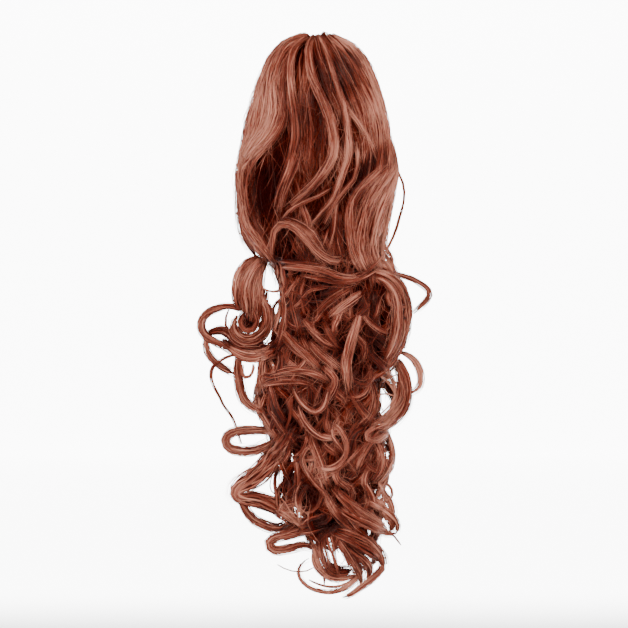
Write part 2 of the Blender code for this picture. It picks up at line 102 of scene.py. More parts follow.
def face_of_mass(across, drop):
    """How far out the mass reaches on its seen side."""
    left, right, front, back = section(drop)
    share = np.minimum(np.abs(across - (left + right) / 2) / ((right - left) / 2), 1.0)
    reach = (front - back) / 2 * (1 - share**SQUARENESS) ** (1 / SQUARENESS)
    return (front + back) / 2 + reach


def on_mass(bearing, drop, inset):
    """Points on the mass at these bearings (0 is its right, 90 the seen side), this far inside its skin."""
    left, right, front, back = section(drop)
    turn = np.radians(bearing)
    c, s = np.cos(turn), np.sin(turn)
    across = (left + right) / 2 + np.sign(c) * np.abs(c) ** (2 / SQUARENESS) * ((right - left) / 2 - inset)
    out = (front + back) / 2 + np.sign(s) * np.abs(s) ** (2 / SQUARENESS) * ((front - back) / 2 - inset)
    return np.column_stack((across, out, np.broadcast_to(drop, across.shape)))


print("outline rows:", len(OUTLINE))

# %% [markdown]
# ## From a route to a lock
# A lock is a smooth curve through a few stations. At even steps along it there is a little frame of three
# directions: ahead along the hair, sideways across the lock, and through its depth. Bundles and single
# hairs are then only offsets in that frame, so they follow every bend of the lock by themselves.

# %% Smooth routes and their frames
UP_TO_VIEWER = np.array((0.0, 1.0, 0.0))  # the out direction in (across, out, drop)


def unit(rows):
    """The rows' directions, each of length 1."""
    return rows / np.maximum(np.linalg.norm(rows, axis=-1, keepdims=True), 1e-9)


def smooth_route(stations, step):
    """Points at even distances along a smooth curve through the stations, and those distances."""
    points = np.asarray(stations, float)
    ends = np.vstack((2 * points[0] - points[1], points, 2 * points[-1] - points[-2]))
    t = np.linspace(0, 1, 14, endpoint=False)[:, None]
    fine = [
        0.5 * (2 * b + (c - a) * t + (2 * a - 5 * b + 4 * c - d) * t**2 + (3 * b - a - 3 * c + d) * t**3)
        for a, b, c, d in zip(ends, ends[1:], ends[2:], ends[3:])
    ]
    fine = np.vstack((*fine, points[-1:]))
    run = np.concatenate(([0.0], np.cumsum(np.linalg.norm(np.diff(fine, axis=0), axis=1))))
    at = np.linspace(0, run[-1], max(4, round(run[-1] / step)) + 1)
    return np.column_stack([np.interp(at, run, fine[:, k]) for k in range(3)]), at


def frames_along(points, facing):
    """Directions across and through a lock whose flat side looks along facing."""
    ahead = unit(np.gradient(points, axis=0))
    across = np.cross(ahead, facing)
    strength = np.linalg.norm(across, axis=1)
    for n in range(1, len(across)):
        if strength[n] < 0.3:
            across[n] = across[n - 1]
    kernel = np.ones(5) / 5
    padded = np.pad(unit(across), ((2, 2), (0, 0)), mode="edge")
    across = np.column_stack([np.convolve(padded[:, k], kernel, "valid") for k in range(3)])
    across = unit(across - ahead * (across * ahead).sum(axis=1, keepdims=True))
    return across, np.cross(across, ahead)


def blend3(sizes, along):
    """A size given at the root, middle and tip, read along the lock with a long full middle."""
    root, middle, tip = sizes
    fuller = (root, (root + 2 * middle) / 3, middle, (tip + 2 * middle) / 3, tip)
    return np.interp(along, (0, 0.2, 0.5, 0.8, 1), fuller)


# %% [markdown]
# ## Light and dark in the mass
# Hair is darker where it lies deep, because the hair above it takes the light, and paler where the dome
# turns towards the lamp. Three things paint this light and shade into the hair's tone: a plain rule from
# how deep a point lies under the seen face, a pale margin along both sides, and a table of the dark
# hollows and pale bands, each a soft oval. The dark ones hardly touch a lock that stands off the mass,
# because light gets under it.

# %% Painted light and shade: depth and patches
# Painted shade where the change is below 0 and painted highlights where it is above, each a soft oval.
# Columns: across, drop, half width, half height, lean in degrees, change of tone
CROWN_LIGHT_AND_SHADE = (
    (30, 8, 20, 7, 0, 0.35),
    (0, 22, 8, 8, 0, -0.2),
    (-38, 24, 13, 14, 0, -0.42),
    (34, 30, 14, 18, 20, -0.35),
    (28, 36, 20, 18, 20, -0.42),
    (-16, 46, 8, 18, 0, 0.5),
    (24, 52, 8, 14, -30, -0.3),
    (-58, 57, 7, 12, 0, 0.25),
    (5, 64, 8, 24, -8, -0.22),
    (61, 67, 8, 12, 0, 0.25),
    (-53, 78, 12, 24, 16, 0.18),
    (-18, 84, 10, 28, -4, -0.22),
    (21, 84, 6, 14, 0, 0.22),
    (48, 84, 12, 26, -20, 0.3),
    (55, 92, 8, 10, 0, -0.15),
    (-47, 100, 9, 24, 16, 0.32),
    (8, 104, 4, 16, -10, -0.15),
    (66, 106, 8, 14, 0, -0.2),
    (-22, 109, 6, 10, 0, -0.25),
    (-62, 112, 10, 16, 16, 0.3),
    (34, 113, 14, 16, 0, 0.25),
    (-31, 118, 7, 12, 0, -0.15),
    (-8, 120, 7, 30, 0, 0.18),
    (47, 120, 7, 7, 0, 0.3),
    (68, 120, 7, 14, 0, -0.4),
    (22, 124, 8, 18, 0, 0.34),
    (-48, 125, 9, 10, 0, 0.4),
    (50, 128, 26, 5.5, -38, -0.75),
    (18, 140, 10, 8, 0, 0.25),
    (-48, 146, 13, 30, 20, -0.8),
    (-31, 150, 7, 12, 0, -0.2),
    (42, 150, 9, 12, 25, -0.35),
    (60, 150, 12, 16, 10, 0.24),
    (77, 152, 6, 18, 0, 0.4),
    (4, 176, 10, 9, 0, -0.3),
    (14, 186, 12, 13, 20, -0.35),
    (0, 190, 7, 9, 0, 0.35),
    (54, 190, 8, 18, 0, -0.25),
    (26, 192, 10, 12, 0, -0.3),
    (-30, 200, 9, 9, 0, -0.55),
    (66, 200, 9, 20, 0, 0.45),
)
# Painted shade and painted highlights on the ringlets, in the same columns.
RINGLET_LIGHT_AND_SHADE = (
    (-12, 217, 13, 7, 0, -0.4),
    (-31, 220, 13, 8, 0, -0.65),
    (34, 222, 22, 6, 0, 0.25),
    (68, 225, 9, 8, 0, 0.6),
    (-77, 236, 6, 12, 0, 0.5),
    (12, 240, 15, 9, 0, -0.7),
    (-72, 250, 6, 18, 0, -0.4),
    (-56, 250, 8, 15, 0, 0.3),
    (4, 258, 17, 12, 0, -0.5),
    (44, 258, 7, 12, 0, -0.4),
    (64, 258, 9, 16, 0, -0.6),
    (-74, 262, 10, 24, 0, -0.45),
    (-28, 264, 8, 28, 0, -0.5),
    (66, 264, 9, 16, 0, 0.5),
    (20, 268, 13, 8, 20, 0.15),
    (82, 276, 10, 28, 0, -0.6),
    (-52, 278, 11, 24, 0, -0.75),
    (-66, 288, 10, 14, 0, -0.3),
    (-36, 299, 10, 9, 0, -0.4),
    (-90, 300, 10, 10, 0, -0.4),
    (-46, 302, 9, 14, 0, -0.75),
    (60, 303, 10, 16, 0, -0.7),
    (27, 306, 12, 12, 0, -0.4),
    (-6, 322, 16, 9, 0, 0.12),
    (17, 322, 7, 12, 0, 0.3),
    (-70, 336, 12, 20, 0, -0.6),
    (36, 336, 12, 14, 0, -0.35),
    (86, 344, 7, 26, 0, -0.4),
    (5, 346, 9, 8, 0, -0.2),
    (60, 346, 7, 14, 0, -0.3),
    (24, 352, 7, 6, 0, 0.25),
    (73, 352, 8, 22, 0, 0.7),
    (-20, 358, 7, 10, 0, -0.3),
    (36, 372, 18, 6, 0, 0.3),
    (-34, 376, 14, 22, -10, -0.7),
    (18, 388, 8, 20, 0, 0.32),
    (68, 392, 7, 12, 0, -0.3),
    (-30, 394, 8, 10, 0, -0.4),
    (-14, 398, 7, 12, -15, -0.3),
    (68, 400, 9, 30, 0, 0.22),
    (-39, 412, 8, 12, 0, -0.35),
    (-4, 412, 6, 16, 0, 0.35),
    (4, 420, 10, 16, 0, 0.25),
    (46, 424, 20, 18, 0, 0.16),
    (60, 424, 16, 8, 0, -0.25),
    (-28, 430, 8, 12, 0, -0.6),
    (10, 430, 9, 12, 0, 0.3),
    (-78, 438, 10, 14, 0, 0.25),
    (-13, 440, 18, 16, 0, -0.55),
    (30, 446, 9, 20, 0, -0.3),
    (36, 458, 10, 9, -30, -0.2),
    (68, 458, 9, 24, 0, 0.35),
    (14, 460, 8, 11, 0, 0.3),
    (-17, 466, 11, 12, 0, 0.6),
    (8, 475, 17, 8, 0, -1.1),
    (-58, 480, 14, 10, 20, 0.3),
    (-8, 483, 12, 8, 0, -0.45),
    (-14, 492, 28, 7, 0, -0.5),
    (36, 502, 10, 8, 0, -0.4),
    (4, 508, 9, 12, 0, 0.35),
    (58, 522, 9, 8, 0, -0.25),
    (34, 534, 14, 8, 0, 0.4),
)
EDGE_SHARE = 0.72  # how far out across the mass its pale margin, a painted highlight, begins
EDGE_OVER = 1.2  # and how far out it is over
EDGE_FADE = 0.15
EDGE_CHANGE = 0.28
FREE_SHARE = 0.4  # how much of that the ringlets outside the mass get
INNER_CHANGE = -0.08  # a little painted shade everywhere on the seen side
DEEPER = 0.025  # painted shade: darker by this for each mm under the seen face
DEEPEST, HIGHEST = -10, 2  # between these heights over the seen face, in mm
STAND_OFF = 8  # a lock this far off the mass is out of most of a patch of painted shade


def painted_light_and_shade(points):
    """How much painted light and shade make hair paler or darker at these (across, out, drop) points."""
    across, out, drop = points.T
    left, right, front, back = section(drop)
    height = out - face_of_mass(across, drop)
    seen = np.clip((out - (front + back) / 2) / 12 + 0.5, 0, 1)
    sunk = np.clip(1 - height / STAND_OFF, 0.3, 1)
    share = np.abs(across - (left + right) / 2) / ((right - left) / 2)
    total = DEEPER * np.clip(height, DEEPEST, HIGHEST) + INNER_CHANGE
    margin = np.clip((share - EDGE_SHARE) / (1 - EDGE_SHARE), 0, 1)
    margin = margin * np.clip((EDGE_OVER - share) / EDGE_FADE, FREE_SHARE, 1)
    total = total + EDGE_CHANGE * margin
    for middle, level, wide, high, lean, change in CROWN_LIGHT_AND_SHADE + RINGLET_LIGHT_AND_SHADE:
        c, s = math.cos(math.radians(lean)), math.sin(math.radians(lean))
        u = ((across - middle) * c + (drop - level) * s) / wide
        v = ((drop - level) * c - (across - middle) * s) / high
        soft = np.exp(-((u**2 + v**2) ** 1.5))
        total = total + change * soft * (sunk if change < 0 else 1)
    return total * seen


print("patches:", len(CROWN_LIGHT_AND_SHADE), "on the crown and", len(RINGLET_LIGHT_AND_SHADE), "on the ringlets")

# %% [markdown]
# ## Collecting tubes
# A head of hair is thousands of thin closed tubes. Making an object of each would be hopeless, so each
# piece gathers its tubes as arrays and becomes one mesh. Every tube also gets its own rectangle in a
# texture layout, which is what lets the finish be baked later without the hairs sharing pixels.

# %% The collector
TAPER = 0.25  # how thin a tube's end is
STRAND_SCALE = 100  # millimetres of hair to one unit of the strand layout
GOLDEN_SHARE = 0.61803  # steps of this share of a turn never fall into a pattern
DRAWN = []  # triangles of each piece made so far


class Tubes:
    """Closed tubes of hair that become one mesh."""

    def __init__(self, name):
        self.name = name
        self.rings = []  # one (points, sides, 3) array for each tube
        self.tones = []
        self.runs = []

    def add(self, points, across, through, half_across, half_through, sides, tone):
        """Keep a tube with this many sides round these points."""
        at = np.concatenate(([0.0], np.cumsum(np.linalg.norm(np.diff(points, axis=0), axis=1))))
        turn = 2 * np.pi * np.arange(sides) / sides
        a = (half_across[:, None] * np.cos(turn))[..., None] * across[:, None, :]
        b = (half_through[:, None] * np.sin(turn))[..., None] * through[:, None, :]
        self.rings.append(points[:, None, :] + a + b)
        self.tones.append(tone)
        self.runs.append(at)

    def triangles(self):
        """How many triangles the tubes become."""
        return sum(2 * (len(r) - 1) * r.shape[1] + 2 * (r.shape[1] - 2) for r in self.rings)


def index_faces(rows, sides, first):
    """Corner numbers of a tube's quads, and of its two ends."""
    k = np.arange(sides)
    n = (k + 1) % sides
    low = first + np.arange(rows - 1)[:, None] * sides
    quads = np.stack((low + k, low + n, low + sides + n, low + sides + k), axis=-1).reshape(-1, 4)
    start = first + k[::-1]
    end = first + (rows - 1) * sides + k
    return quads, start, end


def lay_out(number, of, around, along):
    """Where a tube's point falls in the texture layout."""
    columns = max(1, math.ceil(math.sqrt(of * 5)))
    rows = max(1, math.ceil(of / columns))
    u = (number % columns + 0.08 + 0.84 * around) / columns
    v = (number // columns + 0.03 + 0.94 * along) / rows
    return u, v


def mesh_of(tubes, material, stands_for):
    """One object of all the tubes, with its finish and the nodes that it stands for."""
    points, corners, counts, strand_uv, bake_uv, tones, seeds = [], [], [], [], [], [], []
    first = 0
    total = len(tubes.rings)
    for number, (ring, tone, at) in enumerate(zip(tubes.rings, tubes.tones, tubes.runs)):
        rows, sides = ring.shape[:2]
        points.append(ring.reshape(-1, 3))
        quads, start, end = index_faces(rows, sides, first)
        corners += [quads.ravel(), start, end]
        counts.append(np.full(len(quads), 4))
        counts.append(np.array((sides, sides)))
        k = np.arange(sides)
        around = np.stack((k, k + 1, k + 1, k), axis=-1) / sides
        around = np.broadcast_to(around, (rows - 1, sides, 4)).reshape(-1)
        level = np.arange(rows - 1)
        length = np.stack((at[level], at[level], at[level + 1], at[level + 1]), axis=-1)
        length = np.repeat(length, sides, axis=0).reshape(-1)
        cap = np.concatenate((k[::-1], k)) / sides
        cap_length = np.repeat((at[0], at[-1]), sides)
        around = np.concatenate((around, cap))
        length = np.concatenate((length, cap_length))
        strand_uv.append(np.column_stack((around, length / STRAND_SCALE)))
        bake_uv.append(np.column_stack(lay_out(number, total, around, length / at[-1])))
        # Each point's tone gets the painted light and shade of where it lies.
        tones.append(tone + painted_light_and_shade(ring.reshape(-1, 3)))
        seeds.append(np.full(rows * sides, (number * GOLDEN_SHARE) % 1.0))
        first += rows * sides
    places = np.vstack(points)
    places = np.column_stack((places[:, 0], -places[:, 1], CROWN_ABOVE_CLIP - places[:, 2])) / MM
    corners = np.concatenate(corners).astype(np.int32)
    counts = np.concatenate(counts)
    mesh = bpy.data.meshes.new(tubes.name)
    mesh.vertices.add(len(places))
    mesh.vertices.foreach_set("co", places.astype(np.float32).ravel())
    mesh.loops.add(len(corners))
    mesh.loops.foreach_set("vertex_index", corners)
    mesh.polygons.add(len(counts))
    starts = np.concatenate(([0], np.cumsum(counts)[:-1])).astype(np.int32)
    mesh.polygons.foreach_set("loop_start", starts)
    mesh.update(calc_edges=True)
    for layer, rows in (("OFBake", bake_uv), ("strand", strand_uv)):
        made = mesh.uv_layers.new(name=layer)
        made.uv.foreach_set("vector", np.vstack(rows).astype(np.float32).ravel())
    for layer, rows in (("tone", tones), ("seed", seeds)):
        made = mesh.attributes.new(layer, "FLOAT", "POINT")
        made.data.foreach_set("value", np.concatenate(rows).astype(np.float32))
    mesh.shade_smooth()
    mesh.materials.append(material)
    piece = bpy.data.objects.new(tubes.name, mesh)
    bpy.context.scene.collection.objects.link(piece)
    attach(piece, "root")
    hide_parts(*stands_for)
    DRAWN.append(tubes.triangles())
    print(f"{tubes.name}: {total} tubes, {DRAWN[-1]} triangles, {sum(DRAWN)} so far")
    return piece


# %% [markdown]
# ## Filling a lock
# Seen close, a lock is a skin of flat bundles that overlap like shingles, round a dark middle. Each one
# is a closed ribbon two millimetres wide that lies on the lock's skin with a ridge outwards, and single
# hairs wander over them. Only the skin is built, with one plain core inside that is coloured darker as
# painted shade, and where a lock lies on other hair the skin stops short underneath, because nothing
# deeper is ever seen. Bundles on a lock's flanks get painted shade too, which gives the lock its roundness.

# %% Bundles and hairs round a route
BUNDLE_HALF = 1.0  # usual half width of a bundle
BUNDLE_FLAT = 0.45  # its thickness as a share of its width
BUNDLE_GAP = 1.15  # distance between bundles round a lock
SEEN_ARC = 236.0  # how much of a lock's girth is built, in degrees, where it lies on other hair
BUNDLE_ENDS = 0.25  # how much of its length a bundle may stop short by
LEAST_LOCK = 1.5  # thinner than this it is drawn as a few hairs
CORE_FROM = 2.4  # wider than this it has a plain core
CORE_SHARE = (0.7, 0.6)  # of the lock's width and depth
# A lock's core is darker by this, painted shade inside the lock.
CORE_TONE = -0.3
TONE_SPREAD = 0.13  # how much bundles differ
SIDE_SHADE = 0.26  # painted shade: how much darker a lock's flanks are than its front, which gives it its roundness
FRONT = 0.7  # the sine of the turn at which that changes from paler to darker
SPREAD = 0.16  # how far a bundle drifts, as a share of the lock's size
LONE_HAIRS = 0.9  # single hairs for each bundle
HAIR_HALF = 0.2  # half width of a drawn hair, a few real ones together
LEAST_POINTS = 4  # a shorter piece of hair is left out


def wander(rng, at, size, wavelength):
    """A slow random drift along a hair."""
    total = np.zeros_like(at)
    for share in (1.0, 0.45):
        phase = rng.uniform(0, 2 * np.pi)
        wave = wavelength * share * rng.uniform(0.8, 1.3)
        total = total + share * np.sin(2 * np.pi * at / wave + phase)
    return size * total


def end_taper(along, root, tip):
    """Full size in the middle, narrowing over the last stretch at each end."""
    rise = np.clip(along / max(root, 1e-6), 0, 1)
    fall = np.clip((1 - along) / max(tip, 1e-6), 0, 1)
    return TAPER + (1 - TAPER) * np.sqrt(np.minimum(rise, fall))


def fill_lock(
    tubes, rng, stations, wide, deep, tone, step=5.0, facing=UP_TO_VIEWER, hairs=1.0, free=False, fineness=1.0
):
    """Lay a lock's core, bundles and hairs round its route. A free lock is built all round."""
    points, at = smooth_route(stations, step)
    along = at / at[-1]
    across, through = frames_along(points, facing)
    ahead = np.cross(across, through)
    half, thick = blend3(wide, along), blend3(deep, along)
    if max(wide) < LEAST_LOCK:
        fine_hairs(tubes, rng, points, at, across, through, half, thick, tone)
        return
    if max(wide) > CORE_FROM:
        shape = end_taper(along, 0.06, 0.3)
        core_half, core_thick = half * CORE_SHARE[0] * shape, thick * CORE_SHARE[1] * shape
        tubes.add(points, across, through, core_half, core_thick, 6, tone + CORE_TONE)
    arc = 2 * np.pi if free else math.radians(SEEN_ARC)
    around = arc * math.sqrt((max(wide) ** 2 + max(deep) ** 2) / 2)
    count = max(4, round(around / BUNDLE_GAP * fineness))
    size = BUNDLE_HALF * min(1.2, 0.7 + max(wide) / 16) / fineness
    for k in range(count):
        turn = (np.pi - arc) / 2 + arc * (k + 0.5 + rng.uniform(-0.4, 0.4)) / count
        end = 1 - BUNDLE_ENDS * rng.uniform(0, 1) ** 2
        keep = along <= end + 1e-6
        if keep.sum() < LEAST_POINTS:
            continue
        own = along[keep] / end
        gather = rng.uniform(0.78, 1.06) * (1 - 0.3 * np.clip((own - 0.75) / 0.25, 0, 1) ** 1.5)
        u = np.cos(turn) * gather + wander(rng, at[keep], SPREAD, 90)
        v = np.sin(turn) * gather + wander(rng, at[keep], SPREAD, 110)
        u = u * np.maximum(half[keep] - size * 0.4, 0.3)
        v = v * np.maximum(thick[keep] - size * 0.25, 0.3)
        middle = points[keep] + across[keep] * u[:, None] + through[keep] * v[:, None]
        flat_across, flat_through = -np.sin(turn) * half[keep], np.cos(turn) * thick[keep]
        flat = unit(across[keep] * flat_across[:, None] + through[keep] * flat_through[:, None])
        outwards = np.cross(flat, ahead[keep])
        roll = rng.normal(0, 0.2) + wander(rng, at[keep], 0.12, 100)
        c, s = np.cos(roll)[:, None], np.sin(roll)[:, None]
        flat, outwards = flat * c + outwards * s, outwards * c - flat * s
        # Each bundle's own tone, with painted shade on the lock's flanks and a paler front.
        own_tone = tone + rng.normal(0, TONE_SPREAD) + SIDE_SHADE * (np.sin(turn) - FRONT)
        girth = size * rng.uniform(0.4, 1.3) * end_taper(own, 0.03, 0.2)
        tubes.add(middle, outwards, flat, girth * BUNDLE_FLAT, girth, 3, own_tone)
    for _ in range(rng.poisson(LONE_HAIRS * hairs * count)):
        lone_hair(tubes, rng, points, at, across, through, half, thick, tone)


def lone_hair(tubes, rng, points, at, across, through, half, thick, tone):
    """One fine hair that wanders over a lock's skin and may stand off it."""
    first = rng.integers(0, max(1, len(points) // 3))
    last = len(points) - rng.integers(0, max(1, len(points) // 5))
    if last - first < LEAST_POINTS:
        return
    cut = slice(first, last)
    own = np.linspace(0, 1, last - first)
    turn = rng.uniform(0, 2 * np.pi) + wander(rng, at[cut], 0.35, 90)
    stand = rng.exponential(0.9) * own + 0.3
    u = np.cos(turn) * (half[cut] + stand) + wander(rng, at[cut], 0.3, 40)
    v = np.sin(turn) * (thick[cut] + stand) + wander(rng, at[cut], 0.3, 40)
    middle = points[cut] + across[cut] * u[:, None] + through[cut] * v[:, None]
    size = HAIR_HALF * rng.uniform(0.7, 1.4) * end_taper(own, 0.1, 0.3)
    tubes.add(middle, across[cut], through[cut], size, size, 3, tone + rng.normal(0.02, 0.28))


def fine_hairs(tubes, rng, points, at, across, through, half, thick, tone):
    """A thread of a few hairs, for what is too thin to be a lock."""
    count = max(3, round(float(half.max()) * 9))
    own = at / at[-1]
    for _ in range(count):
        turn, reach = rng.uniform(0, 2 * np.pi), rng.uniform(0.1, 1.0)
        u = np.cos(turn) * reach + wander(rng, at, 0.3, 70)
        v = np.sin(turn) * reach + wander(rng, at, 0.3, 80)
        middle = points + across * (u * half)[:, None] + through * (v * thick)[:, None]
        size = HAIR_HALF * rng.uniform(1.8, 2.8) * end_taper(own, 0.05, 0.4)
        tubes.add(middle, across, through, size, size, 3, tone + rng.normal(0, 0.12))


TRACE_STEP = 7.0  # distance between a traced lock's stations
BURIED = 7.0  # how deep a lock's end dives where it lies on the mass
END_SHARE = 0.16  # over how much of its length
ROOT_DROP = 6.0  # a lock that starts higher than this comes over the top from the clip
ROOT_ROOM = 1.5  # how much lower it then runs, for its own thickness


def traced(route, lift):
    """Stations of a lock traced on the seen side as (across, drop), this far off the mass."""
    points, _ = smooth_route([(across, 0, drop) for across, drop in route], TRACE_STEP)
    across, drop = points[:, 0], points[:, 2]
    along = np.linspace(0, 1, len(points))
    out = face_of_mass(across, drop) + blend3(lift, along)
    left, right, _, _ = section(drop)
    inside = np.minimum(across - left, right - across)
    buried = BURIED * np.clip((inside[[0, -1]] - 4) / 8, 0, 1) * (drop[[0, -1]] > 30)
    out = out - buried[0] * np.clip(1 - along / END_SHARE, 0, 1) ** 1.5
    out = out - buried[1] * np.clip(1 - (1 - along) / END_SHARE, 0, 1) ** 1.5
    stations = np.column_stack((across, out, drop))
    if drop[0] < ROOT_DROP:
        stations[:, 2] += ROOT_ROOM * np.clip(1 - drop / 20, 0, 1)
        over_the_top = (across[0] * 0.8, out[0] - 14, drop[0] + 8)
        stations = np.vstack((over_the_top, stations))
    return stations


STRAIGHT = 0.9  # a lock straighter than this can do with longer steps
STRAIGHT_STEP = 1.5
FREE_LIFT = 5.5  # a lock that stands further off the mass than this is built all round


def straightness(stations):
    """The distance from end to end as a share of the way along."""
    way = np.linalg.norm(np.diff(stations, axis=0), axis=1).sum()
    return np.linalg.norm(stations[-1] - stations[0]) / way


def lay_locks(tubes, rng, table, step, fineness=1.0):
    """Lay every lock of a table, with fewer rings along straight ones and full bundles in free ones."""
    for route, wide, deep, lift, tone in table.values():
        stations = traced(route, lift)
        own_step = step * STRAIGHT_STEP if straightness(stations) > STRAIGHT else step
        free = max(lift) > FREE_LIFT
        own_fineness = 1.0 if free else fineness
        fill_lock(tubes, rng, stations, wide, deep, tone, own_step, free=free, fineness=own_fineness)


print("a hair is", 2 * HAIR_HALF, "mm wide and a bundle about", 2 * BUNDLE_HALF)
